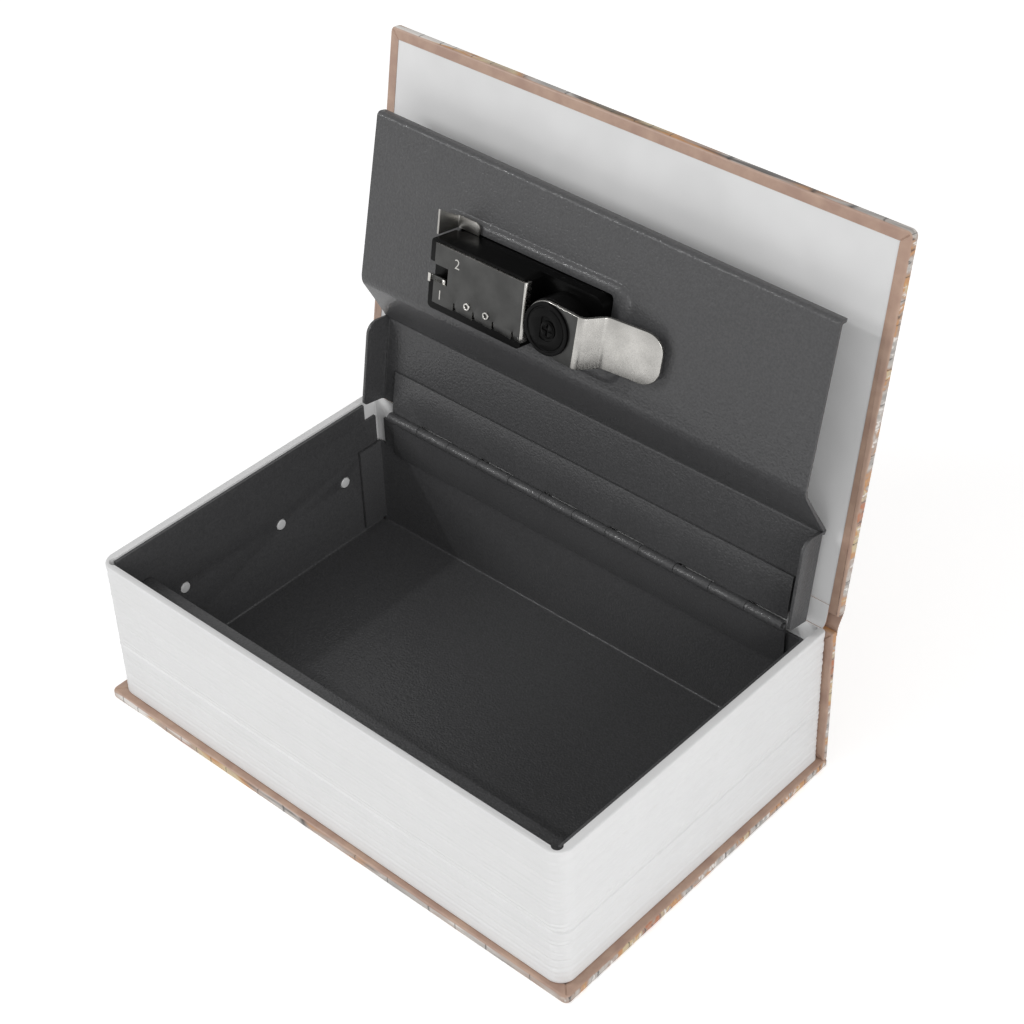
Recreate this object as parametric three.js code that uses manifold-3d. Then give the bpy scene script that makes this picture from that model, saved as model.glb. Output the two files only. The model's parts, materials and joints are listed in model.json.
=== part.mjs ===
// A book safe: a steel tray and lid hidden in a hardback case with a moulded page block.
// Millimetres. X runs along the spine, +Y points to the spine, +Z is up.
// The origin is the middle of the base board's footprint, on the surface it stands on.
// The case and the lid are drawn shut, each about its own hinge line, and swung open at the end.
import * as THREE from 'three';
import { mergeVertices } from 'three/addons/utils/BufferGeometryUtils.js';
import Module from 'manifold-3d';

const wasm = await Module();
wasm.setup();

// Closed book
const book_length = 180;
const book_depth = 115;
const board_thick = 3;
const spine_thick = 2;
const paper_thick = 0.3;
const glue_gap = 0.1;
const board_margin = 2.4;
const board_corner_radius = 1.2;

// Page block, a white moulded ring
const block_height = 49;
const block_wall = 2.2;
const block_rear_wall = 0.9;
const block_front_corner = 5;
const block_rear_corner = 1.5;
const block_inner_corner = 0.5;
const block_rim_round = 0.7;
const corner_notch_radius = 1.6;
const corner_notch_overhang = 0.2;
const page_groove_depth = 0.45;
const page_groove_width = 0.7;
const page_line_shares = [0.045, 0.09, 0.13, 0.18, 0.225, 0.28, 0.335, 0.39, 0.445, 0.5, 0.565, 0.625, 0.69, 0.845, 0.915];
const page_depth_shares = [0.7, 1, 0.6, 0.9, 1, 0.7, 1, 0.6, 1, 0.8, 1, 0.7, 1, 0.45, 0.6];

// Steel tray
const tray_sheet = 0.9;
const tray_fit = 0.2;
const tray_bend = 1.2;
const tray_rim_drop = 0.6;
const lip_width = 10.8;
const lip_end_gap = 1.2;
const lip_corner = 1.5;
const rear_wall_drop = 3.8;
const rear_wall_end_gap = 3.3;
const side_notch_length = 4.6;
const side_notch_drop = 4.2;
const corner_tab_length = 9;
const rear_tab_drop = 10.1;
const front_tab_drop = 1.3;
const corner_tab_foot = 6.5;
const floor_relief = 2.2;

// White pegs that fix the page block to the tray
const peg_radius = 1.8;
const peg_hole_radius = 2.1;
const peg_height = 27.3;
const peg_place_shares = [-0.504, 0.179, 0.661];
const peg_head_proud = 0.15;
const peg_sink = 0.9;

// Piano hinge
const hinge_end_gap = 8.3;
const hinge_rim_drop = 2.7;
const knuckle_count = 12;
const knuckle_radius = 1.6;
const pin_radius = 0.8;
const pin_clearance = 0.1;
const knuckle_gap = 0.3;
const leaf_thick = 0.8;
const leaf_width = 15.5;
const leaf_cutout = 2.3;
const weld_gap = 0.1;
const pin_overhang = 0.5;

// Front cover hinge, the crease of the paper joint
const cover_hinge_rise = 1.4;
const cover_hinge_outset = 0.25;
const cover_rim_gap = 0.3;
const cover_joint_gap = 2.6;
const endpaper_margin = 3.4;
const spine_top_drop = 0.7;
const joint_strip_gap = 0.25;

// Lid
const open_angle = 100;
const lid_sheet = 0.9;
const lid_bend = 1;
const lid_front_gap = 3.1;
const lid_side_gap = 2.3;
const lid_rest_gap = 0.4;
const lid_rear_start = 4;
const lid_rear_end = 32.5;
const lid_sunk_start = 49.3;
const lid_sink = 11;
const lid_flange = 5.5;
const lid_front_corner = 2;
const ear_depth = 8.4;
const ear_round = 4;
const ear_foot_round = 1.5;

// Embossed window for the lock
const boss_left = -53;
const boss_right = 18.5;
const boss_low = 52.5;
const boss_high = 82.6;
const boss_height = 1.2;
const boss_corner = 5;
const window_clearance = 0.3;

// Combination lock. Places along the lid are measured from the hinge line towards the front edge.
const lock_left = -44;
const lock_right = 12.1;
const lock_low = 57;
const lock_high = 78.6;
const lock_depth = 12.1;
const lock_deck_depth = 5;
const lock_deck_corner = 3;
const hub_boss_radius = 8.2;
const lock_corner = 1.5;
const bezel_left = -50.5;
const bezel_right = 16.6;
const bezel_low = 54.6;
const bezel_high = 80.6;
const bezel_corner = 4;
const bezel_thick = 2.4;
const bezel_fit = 0.3;

// Number dials
const dial_count = 3;
const dial_pitch = 7.3;
const dial_middle = -22.9;
const dial_radius = 7.2;
const dial_width = 5;
const dial_axle_radius = 1.3;
const dial_clearance = 0.3;
const dial_axle_depth = 3.2;
const dial_axle_place = 67.8;
const dial_flutes = 20;
const dial_flute_depth = 0.45;
const dial_flute_shares = [[0.1, 0], [0.6, 0], [0.75, 1], [0.95, 1]];
const axle_bearing = 2.5;

// Knob, spindle and latch
const hub_place_x = 0.7;
const hub_place = 68.2;
const spindle_radius = 4;
const spindle_clearance = 0.3;
const spindle_square = 5.6;
const knob_radius = 7.6;
const knob_height = 7.6;
const knob_skirt_radius = 8.4;
const knob_skirt_height = 1.2;
const knob_grip_width = 4.2;
const knob_grip_cut = 4.6;
const latch_rest_tilt = 3;
const latch_sheet = 1.2;
const latch_width = 15.7;
const latch_length = 31.4;
const latch_tip_round = 5.5;
const latch_bend_start = 10.9;
const latch_bend_run = 3.2;
const latch_tongue_drop = 6.7;
const latch_tip_drop = 10.5;
const latch_bend = 1;
const hub_cap_radius = 7.2;
const hub_cap_height = 1.1;
const hub_cap_recess = 3.3;
const hub_cap_flat = 1.6;
const hub_cap_recess_depth = 0.7;
const running_gap = 0.3;

// Back plate of the lock with its reset lever
const plate_left = -42.3;
const plate_right = -8.6;
const plate_low = 59.6;
const plate_high = 77.8;
const plate_sheet = 0.8;
const plate_fold = 1.6;
const plate_slit_width = 0.6;
const plate_slit_height = 2.5;
const plate_slit_places = [-34, -26.6, -19.2, -11.9];
const reset_slot_length = 5.2;
const reset_slot_low = 66.2;
const reset_slot_high = 71.4;
const reset_lever_width = 2;
const reset_lever_reach = 3.2;
const reset_lever_proud = 0.8;
const reset_pocket_depth = 2;
const plate_rivet_radius = 1.15;
const plate_rivet_hole = 0.6;
const plate_rivet_proud = 0.5;
const plate_rivet_places = [-29, -21.8];
const plate_rivet_row = 63;

// Spring clip that holds the lock in the lid
const clip_left = -44.6;
const clip_right = -36.4;
const clip_rise = 3.8;
const clip_flag_rise = 7.6;
const clip_flag_depth = 8.5;
const clip_round = 1.6;
const clip_sheet = 0.7;

const cut_overrun = 1;
const arc_steps = 3;
const corner_steps = 5;
const degree = Math.PI / 180;

// Derived places of the case and the tray
const half_length = book_length / 2;
const half_depth = book_depth / 2;
const block_bottom = board_thick + glue_gap;
const block_top = block_bottom + block_height;
const lid_hinge_height = block_top - hinge_rim_drop;
const cover_hinge_height = block_top + cover_hinge_rise;
const block_x = half_length - board_margin;
const block_front = -half_depth + board_margin;
const block_back = half_depth - spine_thick - glue_gap;
const cavity_x = block_x - block_wall;
const cavity_front = block_front + block_wall;
const cavity_back = block_back - block_rear_wall;
const tray_x = cavity_x - tray_fit;
const tray_front = cavity_front + tray_fit;
const tray_back = cavity_back - tray_fit;
const tray_bottom = block_bottom;
const tray_inner_x = tray_x - tray_sheet;
const tray_inner_front = tray_front + tray_sheet;
const tray_inner_back = tray_back - tray_sheet;
const lid_hinge_y = tray_inner_back - weld_gap - knuckle_radius;
const cover_hinge_y = half_depth + cover_hinge_outset;
const cover_inner_face = block_top + cover_rim_gap - cover_hinge_height;
const hinge_length = (tray_inner_x - hinge_end_gap) * 2;
const knuckle_length = hinge_length / knuckle_count;
const peg_places = peg_place_shares.map((share) => share * half_depth);

// Derived levels of the lid, in its own frame: hinge line at zero, the shut lid lies level
const lid_length = lid_hinge_y - tray_inner_front - lid_front_gap;
const lid_width = (tray_inner_x - lid_side_gap) * 2;
const lid_rear_face = knuckle_radius + weld_gap;
const lid_main_face = lid_rear_face - lid_sink;
const recess_floor = lid_main_face - boss_height + lid_sheet;
const lock_face = lid_main_face - lock_depth;
const lock_deck_face = lid_main_face - lock_deck_depth;
const lock_tower_right = plate_right - plate_sheet - glue_gap;
const latch_face = lock_face - running_gap;

// Derived heights of the tray's edges
const lip_height = lid_hinge_height + lid_main_face - lid_rest_gap;
const rear_wall_top = lid_hinge_height - rear_wall_drop;
const side_notch_height = lid_hinge_height - side_notch_drop;
const rear_tab_top = rear_wall_top - rear_tab_drop;
const front_tab_top = lip_height - front_tab_drop;

const paint_steel = new THREE.MeshStandardMaterial({ color: 0x45464a, roughness: 0.62, metalness: 0.5 });
const white_plastic = new THREE.MeshStandardMaterial({ color: 0xe2e2e2, roughness: 0.5, metalness: 0 });
const black_plastic = new THREE.MeshStandardMaterial({ color: 0x151515, roughness: 0.4, metalness: 0 });
const nickel = new THREE.MeshStandardMaterial({ color: 0xc4c2be, roughness: 0.28, metalness: 1 });
const grey_board = new THREE.MeshStandardMaterial({ color: 0x9a948a, roughness: 0.9, metalness: 0 });
const printed_paper = new THREE.MeshStandardMaterial({ color: 0x9c6f5a, roughness: 0.6, metalness: 0 });
const white_paper = new THREE.MeshStandardMaterial({ color: 0xd6d6d6, roughness: 0.8, metalness: 0 });

// Turns a closed mesh into a solid that can be joined and cut.
function solidOf(geometry) {
  const bare = geometry.clone();
  bare.deleteAttribute('normal');
  bare.deleteAttribute('uv');
  const merged = mergeVertices(bare);
  return new wasm.Manifold(new wasm.Mesh({
    numProp: 3,
    vertProperties: new Float32Array(merged.attributes.position.array),
    triVerts: new Uint32Array(merged.index.array),
  }));
}

function geometryOf(solid) {
  const mesh = solid.getMesh();
  const geometry = new THREE.BufferGeometry();
  geometry.setAttribute('position', new THREE.BufferAttribute(new Float32Array(mesh.vertProperties), 3));
  geometry.setIndex(new THREE.BufferAttribute(new Uint32Array(mesh.triVerts), 1));
  const flat = geometry.toNonIndexed();
  flat.computeVertexNormals();
  return flat;
}

function box(x0, x1, y0, y1, z0, z1) {
  const geometry = new THREE.BoxGeometry(x1 - x0, y1 - y0, z1 - z0);
  geometry.translate((x0 + x1) / 2, (y0 + y1) / 2, (z0 + z1) / 2);
  return solidOf(geometry);
}

// An outline drawn in Y and Z, drawn out along X.
function alongX(shape, x0, x1) {
  const geometry = new THREE.ExtrudeGeometry(shape, { depth: x1 - x0, bevelEnabled: false, curveSegments: corner_steps });
  const turn = new THREE.Matrix4().makeBasis(
    new THREE.Vector3(0, 1, 0), new THREE.Vector3(0, 0, 1), new THREE.Vector3(1, 0, 0));
  geometry.applyMatrix4(turn);
  geometry.translate(x0, 0, 0);
  return solidOf(geometry);
}

// An outline drawn in X and Z, drawn out along Y.
function alongY(shape, y0, y1) {
  const geometry = new THREE.ExtrudeGeometry(shape, { depth: y1 - y0, bevelEnabled: false, curveSegments: corner_steps });
  geometry.rotateX(Math.PI / 2);
  geometry.translate(0, y1, 0);
  return solidOf(geometry);
}

// An outline drawn in X and Y, drawn up along Z.
function alongZ(shape, z0, z1) {
  const geometry = new THREE.ExtrudeGeometry(shape, { depth: z1 - z0, bevelEnabled: false, curveSegments: corner_steps });
  geometry.translate(0, 0, z0);
  return solidOf(geometry);
}

function roundRect(x0, x1, y0, y1, radius) {
  const shape = new THREE.Shape();
  shape.moveTo(x0 + radius, y0);
  shape.lineTo(x1 - radius, y0);
  shape.absarc(x1 - radius, y0 + radius, radius, -Math.PI / 2, 0, false);
  shape.lineTo(x1, y1 - radius);
  shape.absarc(x1 - radius, y1 - radius, radius, 0, Math.PI / 2, false);
  shape.lineTo(x0 + radius, y1);
  shape.absarc(x0 + radius, y1 - radius, radius, Math.PI / 2, Math.PI, false);
  shape.lineTo(x0, y0 + radius);
  shape.absarc(x0 + radius, y0 + radius, radius, Math.PI, Math.PI * 1.5, false);
  return shape;
}

// A round bar along Z with its sides on the given circle.
function rod(x, y, radius, z0, z1, sides) {
  const geometry = new THREE.CylinderGeometry(radius, radius, z1 - z0, sides);
  geometry.rotateX(Math.PI / 2);
  geometry.translate(x, y, (z0 + z1) / 2);
  return solidOf(geometry);
}

// A round bar along X.
function rodAlongX(y, z, radius, x0, x1, sides) {
  const geometry = new THREE.CylinderGeometry(radius, radius, x1 - x0, sides);
  geometry.rotateZ(Math.PI / 2);
  geometry.translate((x0 + x1) / 2, y, z);
  return solidOf(geometry);
}

// What rounding a corner takes away: a square at the corner, less a round bar.
function cornerOffcut(x, y, side_x, side_y, radius, z0, z1) {
  const near_x = x - side_x * radius;
  const near_y = y - side_y * radius;
  const far_x = x + side_x * cut_overrun;
  const far_y = y + side_y * cut_overrun;
  const square = box(Math.min(near_x, far_x), Math.max(near_x, far_x), Math.min(near_y, far_y),
    Math.max(near_y, far_y), z0, z1);
  return square.subtract(rod(near_x, near_y, radius, z0 - cut_overrun, z1 + cut_overrun, corner_steps * 4));
}

// Section of a folded sheet. The path is the sheet's middle line, and each fold has the given inner radius.
function foldedSheet(path, thickness, inner_radius) {
  const left = [];
  const right = [];
  const half = thickness / 2;
  const points = path.map(([a, b]) => new THREE.Vector2(a, b));
  const sideways = (direction) => new THREE.Vector2(-direction.y, direction.x);
  points.forEach((point, i) => {
    const before = i > 0 ? point.clone().sub(points[i - 1]).normalize() : null;
    const after = i < points.length - 1 ? points[i + 1].clone().sub(point).normalize() : null;
    if (!before || !after) {
      const side = sideways(before || after).multiplyScalar(half);
      left.push(point.clone().add(side));
      right.push(point.clone().sub(side));
      return;
    }
    const turn = Math.atan2(before.cross(after), before.dot(after));
    const middle_radius = inner_radius + half;
    const setback = middle_radius * Math.tan(Math.abs(turn) / 2);
    const start = point.clone().addScaledVector(before, -setback);
    const centre = start.clone().addScaledVector(sideways(before), Math.sign(turn) * middle_radius);
    const arm = start.clone().sub(centre);
    for (let k = 0; k <= arc_steps; k += 1) {
      const spoke = arm.clone().rotateAround(new THREE.Vector2(), turn * k / arc_steps).normalize();
      left.push(centre.clone().addScaledVector(spoke, middle_radius - Math.sign(turn) * half));
      right.push(centre.clone().addScaledVector(spoke, middle_radius + Math.sign(turn) * half));
    }
  });
  return new THREE.Shape([...right, ...left.reverse()]);
}

const group = new THREE.Group();
const cover_group = new THREE.Group();
const lid_group = new THREE.Group();
const latch_group = new THREE.Group();

function addPiece(parent, name, solid, material) {
  const mesh = new THREE.Mesh(geometryOf(solid), material);
  mesh.name = name;
  parent.add(mesh);
  return mesh;
}

// Grey board inside its wrap.
function boardCore(x, y0, y1, z0, z1) {
  const inset = paper_thick + glue_gap;
  return box(-x + inset, x - inset, y0 + inset, y1 - inset, z0 + inset, z1 - inset);
}

// Printed paper round a board: outer face, edges and turn-in, open over the middle of the inner face.
function boardWrap(x, y0, y1, z0, z1, open_x, open_y0, open_y1, open_low, open_high) {
  const outline = roundRect(-x, x, y0, y1, board_corner_radius);
  const skin = alongZ(outline, z0, z1);
  const pocket = box(-x + paper_thick, x - paper_thick, y0 + paper_thick, y1 - paper_thick,
    z0 + paper_thick, z1 - paper_thick);
  const opening = box(-open_x, open_x, open_y0, open_y1, open_low, open_high);
  return skin.subtract(pocket).subtract(opening);
}

// Case: the flat base board, the spine board standing behind the block, and the front cover
function buildCase() {
  const inner_x = half_length - endpaper_margin;
  addPiece(group, 'base_board', boardCore(half_length, -half_depth, half_depth, 0, board_thick), grey_board);
  addPiece(group, 'wrap_base', boardWrap(half_length, -half_depth, half_depth, 0, board_thick,
    inner_x, -half_depth + endpaper_margin, half_depth - endpaper_margin,
    board_thick - paper_thick - glue_gap, board_thick + cut_overrun), printed_paper);

  const spine_low = board_thick + glue_gap;
  const spine_high = block_top - spine_top_drop;
  const spine_front = half_depth - spine_thick;
  const inset = paper_thick + glue_gap;
  addPiece(group, 'spine_board', box(-half_length + inset, half_length - inset, spine_front + inset,
    half_depth - inset, spine_low + inset, spine_high - inset), grey_board);
  const spine_skin = box(-half_length, half_length, spine_front, half_depth, spine_low, spine_high);
  const spine_pocket = box(-half_length + paper_thick, half_length - paper_thick, spine_front + paper_thick,
    half_depth - paper_thick, spine_low + paper_thick, spine_high - paper_thick);
  const spine_window = box(-inner_x, inner_x, spine_front - cut_overrun, spine_front + inset,
    spine_low + endpaper_margin, spine_high - endpaper_margin);
  addPiece(group, 'wrap_spine', spine_skin.subtract(spine_pocket).subtract(spine_window), printed_paper);
  const strip = foldedSheet([
    [half_depth - paper_thick, spine_high + glue_gap],
    [cover_hinge_y, cover_hinge_height - joint_strip_gap],
  ], paper_thick, paper_thick);
  addPiece(group, 'joint_strip_spine', alongX(strip, -half_length, half_length), printed_paper);

  const front_edge = -half_depth - cover_hinge_y;
  const low = cover_inner_face;
  const high = cover_inner_face + board_thick;
  addPiece(cover_group, 'cover_board', boardCore(half_length, front_edge, -cover_joint_gap, low, high), grey_board);
  addPiece(cover_group, 'wrap_cover', boardWrap(half_length, front_edge, -cover_joint_gap, low, high,
    inner_x, front_edge + endpaper_margin, -cover_joint_gap - paper_thick,
    low - cut_overrun, low + paper_thick + glue_gap), printed_paper);
  addPiece(cover_group, 'joint_strip_cover', box(-half_length, half_length, -cover_joint_gap + glue_gap,
    -joint_strip_gap, -paper_thick / 2, paper_thick / 2), printed_paper);
  addPiece(cover_group, 'cover_endpaper', box(-inner_x + glue_gap, inner_x - glue_gap,
    front_edge + endpaper_margin + glue_gap, -cover_joint_gap - paper_thick - glue_gap,
    low, low + paper_thick), white_paper);
}

// Outline of the page block, drawn in at the sides and front by the given depth.
function blockOutline(inset) {
  const x = block_x - inset;
  const front = block_front + inset;
  const round = block_front_corner - inset;
  const points = [];
  const corner = (cx, cy, radius, start) => {
    for (let k = 0; k <= corner_steps; k += 1) {
      const angle = start + Math.PI / 2 * k / corner_steps;
      points.push([cx + radius * Math.cos(angle), cy + radius * Math.sin(angle)]);
    }
  };
  corner(-x + round, front + round, round, Math.PI);
  corner(x - round, front + round, round, Math.PI * 1.5);
  corner(x - block_rear_corner, block_back - block_rear_corner, block_rear_corner, 0);
  corner(-x + block_rear_corner, block_back - block_rear_corner, block_rear_corner, Math.PI / 2);
  return points;
}

// Stack of outlines joined ring by ring and closed with a cap at each end.
function loft(rings) {
  const count = rings[0].points.length;
  const positions = [];
  const index = [];
  rings.forEach(({ points, z }) => points.forEach(([x, y]) => positions.push(x, y, z)));
  for (let r = 0; r < rings.length - 1; r += 1) {
    for (let k = 0; k < count; k += 1) {
      const a = r * count + k;
      const b = r * count + (k + 1) % count;
      index.push(a, b, b + count, a, b + count, a + count);
    }
  }
  const flat = rings[0].points.map(([x, y]) => new THREE.Vector2(x, y));
  const last = (rings.length - 1) * count;
  THREE.ShapeUtils.triangulateShape(flat, []).forEach(([a, b, c]) => {
    index.push(c, b, a);
    index.push(last + a, last + b, last + c);
  });
  const geometry = new THREE.BufferGeometry();
  geometry.setAttribute('position', new THREE.Float32BufferAttribute(positions, 3));
  geometry.setIndex(index);
  return solidOf(geometry);
}

// The false pages: a ring whose sides are ribbed like the edges of gathered leaves.
function buildPageBlock() {
  const rings = [{ points: blockOutline(0), z: block_bottom }];
  page_line_shares.forEach((share, i) => {
    const level = block_bottom + share * block_height;
    const depth = page_groove_depth * page_depth_shares[i];
    rings.push({ points: blockOutline(0), z: level - page_groove_width });
    rings.push({ points: blockOutline(depth), z: level });
  });
  rings.push({ points: blockOutline(0), z: block_top - block_rim_round });
  rings.push({ points: blockOutline(block_rim_round), z: block_top });
  const low = block_bottom - cut_overrun;
  const high = block_top + cut_overrun;
  const cavity = alongZ(roundRect(-cavity_x, cavity_x, cavity_front, cavity_back, block_inner_corner), low, high);
  let block = loft(rings).subtract(cavity);
  for (const side of [-1, 1]) {
    const notch_inset = (corner_notch_radius - corner_notch_overhang) * Math.SQRT1_2;
    const notch_x = side * (cavity_x - notch_inset);
    const notch_y = cavity_front + notch_inset;
    block = block.subtract(rod(notch_x, notch_y, corner_notch_radius, lip_height, high, corner_steps * 4));
    for (const place of peg_places) {
      const inner = cavity_x - cut_overrun;
      const outer = cavity_x + peg_sink + glue_gap;
      block = block.subtract(rodAlongX(place, peg_height, peg_radius + glue_gap,
        Math.min(side * inner, side * outer), Math.max(side * inner, side * outer), corner_steps * 4));
    }
  }
  addPiece(group, 'page_block', block, white_plastic);
}

// The tray: one sheet folded up on four sides, with a lip on the front wall and welded corner tabs.
function buildTray() {
  const half = tray_sheet / 2;
  const floor_mid = tray_bottom + half;
  const rim = block_top - tray_rim_drop;
  const run_front = tray_front + half;
  const run_back = tray_back - half;
  const front_to_back = foldedSheet([
    [tray_inner_front + lip_width, lip_height - half],
    [run_front, lip_height - half],
    [run_front, floor_mid],
    [run_back, floor_mid],
    [run_back, rear_wall_top],
  ], tray_sheet, tray_bend);
  const rear_wall_x = tray_inner_x - rear_wall_end_gap;
  const lip_x = tray_inner_x - lip_end_gap;
  let tray = alongX(front_to_back, -lip_x, lip_x);
  for (const side of [-1, 1]) {
    tray = tray.subtract(box(
      Math.min(side * rear_wall_x, side * tray_x), Math.max(side * rear_wall_x, side * tray_x),
      tray_inner_back - cut_overrun, tray_back + cut_overrun, rear_tab_top, rear_wall_top + cut_overrun));
  }
  for (const side of [-1, 1]) {
    tray = tray.subtract(cornerOffcut(side * lip_x, tray_inner_front + lip_width, side, 1, lip_corner,
      lip_height - tray_sheet - cut_overrun, lip_height + cut_overrun));
  }
  const across = foldedSheet([
    [-tray_x + half, rim],
    [-tray_x + half, floor_mid],
    [tray_x - half, floor_mid],
    [tray_x - half, rim],
  ], tray_sheet, tray_bend);
  tray = tray.add(alongY(across, tray_front + lip_end_gap, tray_back - lip_end_gap));
  for (const side of [-1, 1]) {
    const outer = side * (tray_x + cut_overrun);
    const inner = side * (tray_inner_x - cut_overrun);
    const x0 = Math.min(outer, inner);
    const x1 = Math.max(outer, inner);
    tray = tray.subtract(box(x0, x1, tray_back - lip_end_gap - side_notch_length, tray_back + cut_overrun,
      side_notch_height, rim + cut_overrun));
    for (const place of peg_places) {
      tray = tray.subtract(rodAlongX(place, peg_height, peg_hole_radius, x0, x1, corner_steps * 4));
    }
    // Corner tabs lie on the inside of the side walls and run into the front and rear walls.
    const tab_inner = side * (tray_inner_x - tray_sheet);
    const tab_outer = side * (tray_inner_x + half);
    const t0 = Math.min(tab_inner, tab_outer);
    const t1 = Math.max(tab_inner, tab_outer);
    tray = tray.add(box(t0, t1, tray_inner_back - corner_tab_length, tray_back, corner_tab_foot, rear_tab_top));
    tray = tray.add(box(t0, t1, tray_front, tray_inner_front + corner_tab_length, corner_tab_foot, front_tab_top));
    const hole_x = side * (tray_inner_x - tray_bend);
    tray = tray.subtract(rod(hole_x, tray_inner_back - tray_bend, floor_relief / 2,
      tray_bottom - cut_overrun, corner_tab_foot, corner_steps * 4));
    tray = tray.subtract(rod(hole_x, tray_inner_front + tray_bend, floor_relief / 2,
      tray_bottom - cut_overrun, corner_tab_foot, corner_steps * 4));
  }
  addPiece(group, 'steel_tray', tray, paint_steel);
}

function buildPegs() {
  let number = 1;
  for (const side of [-1, 1]) {
    for (const place of peg_places) {
      const inner = side * (tray_inner_x - peg_head_proud);
      const outer = side * (cavity_x + peg_sink);
      const peg = rodAlongX(place, peg_height, peg_radius, Math.min(inner, outer), Math.max(inner, outer),
        corner_steps * 4);
      addPiece(group, `frame_rivet_${number}`, peg, white_plastic);
      number += 1;
    }
  }
}

// Section of a knuckle with the strip of leaf that runs into it. The leaf hangs on the far side of the barrel.
function knuckleSection(swap) {
  const reach = leaf_cutout + leaf_thick;
  const inner_side = knuckle_radius - leaf_thick;
  const meeting = -Math.acos(inner_side / knuckle_radius);
  const points = [[inner_side, -reach], [knuckle_radius, -reach], [knuckle_radius, 0]];
  const sides = corner_steps * 4;
  const sweep = Math.PI * 2 + meeting;
  for (let k = 1; k <= sides; k += 1) {
    const angle = sweep * k / sides;
    points.push([knuckle_radius * Math.cos(angle), knuckle_radius * Math.sin(angle)]);
  }
  const place = ([a, b]) => (swap ? new THREE.Vector2(b, a) : new THREE.Vector2(a, b));
  const shape = new THREE.Shape(points.map(place));
  const bore = new THREE.Path();
  bore.absarc(0, 0, pin_radius + pin_clearance, 0, Math.PI * 2, false);
  shape.holes.push(bore);
  return shape;
}

// One leaf of the hinge with every second knuckle, starting at the given one.
function hingeLeaf(first, swap) {
  const x0 = -hinge_length / 2;
  const far = knuckle_radius;
  const near = knuckle_radius - leaf_thick;
  let leaf = swap
    ? box(x0, -x0, -leaf_width, -leaf_cutout, near, far)
    : box(x0, -x0, near, far, -leaf_width, -leaf_cutout);
  for (let k = first; k < knuckle_count; k += 2) {
    const start = x0 + k * knuckle_length + knuckle_gap / 2;
    leaf = leaf.add(alongX(knuckleSection(swap), start, start + knuckle_length - knuckle_gap));
  }
  return leaf;
}

function buildHinge() {
  const tray_leaf = hingeLeaf(1, false).translate([0, lid_hinge_y, lid_hinge_height]);
  addPiece(group, 'tray_hinge_leaf', tray_leaf, paint_steel);
  const reach = hinge_length / 2 + pin_overhang;
  addPiece(group, 'hinge_pin', rodAlongX(lid_hinge_y, lid_hinge_height, pin_radius, -reach, reach,
    corner_steps * 3), paint_steel);
  addPiece(lid_group, 'lid_hinge_leaf', hingeLeaf(0, true), paint_steel);
}

// The lid: rear panel, slope, sunk main panel and raised front flange from one strip, with two ears.
function buildLid() {
  const half = lid_sheet / 2;
  const half_width = lid_width / 2;
  const rear_mid = lid_rear_face + half;
  const main_mid = lid_main_face + half;
  const section = foldedSheet([
    [-lid_rear_start, rear_mid],
    [-lid_rear_end, rear_mid],
    [-lid_sunk_start, main_mid],
    [-lid_length + half, main_mid],
    [-lid_length + half, lid_main_face + lid_flange],
  ], lid_sheet, lid_bend);
  let lid = alongX(section, -half_width, half_width);

  const ear = new THREE.Shape();
  const ear_low = lid_rear_face - ear_depth;
  ear.moveTo(-lid_rear_start, rear_mid);
  ear.lineTo(-lid_rear_start, ear_low + ear_foot_round);
  ear.absarc(-lid_rear_start - ear_foot_round, ear_low + ear_foot_round, ear_foot_round, 0, -Math.PI / 2, true);
  ear.lineTo(-lid_rear_end + ear_round, ear_low);
  ear.absarc(-lid_rear_end + ear_round, ear_low + ear_round, ear_round, -Math.PI / 2, -Math.PI, true);
  ear.lineTo(-lid_rear_end, rear_mid);
  lid = lid.add(alongX(ear, -half_width, -half_width + lid_sheet));
  lid = lid.add(alongX(ear, half_width - lid_sheet, half_width));

  for (const side of [-1, 1]) {
    const offcut = cornerOffcut(side * half_width, lid_main_face + lid_flange, side, 1, lid_front_corner,
      lid_length - lid_sheet - cut_overrun, lid_length + cut_overrun);
    lid = lid.subtract(offcut.rotate([90, 0, 0]));
  }

  // Embossed window: a shallow tray pushed inwards, with the lock's opening cut through it
  const raised = roundRect(boss_left, boss_right, -boss_high, -boss_low, boss_corner);
  const hollow = roundRect(boss_left + lid_sheet, boss_right - lid_sheet, -boss_high + lid_sheet,
    -boss_low - lid_sheet, boss_corner - lid_sheet);
  lid = lid.add(alongZ(raised, lid_main_face - boss_height, main_mid));
  lid = lid.subtract(alongZ(hollow, recess_floor, lid_main_face + lid_sheet + cut_overrun));
  const window = roundRect(lock_left - window_clearance, lock_right + window_clearance,
    -lock_high - window_clearance, -lock_low + window_clearance, lock_corner);
  lid = lid.subtract(alongZ(window, lid_main_face - boss_height - cut_overrun, recess_floor + cut_overrun));
  addPiece(lid_group, 'lid_plate', lid, paint_steel);
}

function dialPlace(number) {
  return dial_middle + (number - (dial_count - 1) / 2) * dial_pitch;
}

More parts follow.
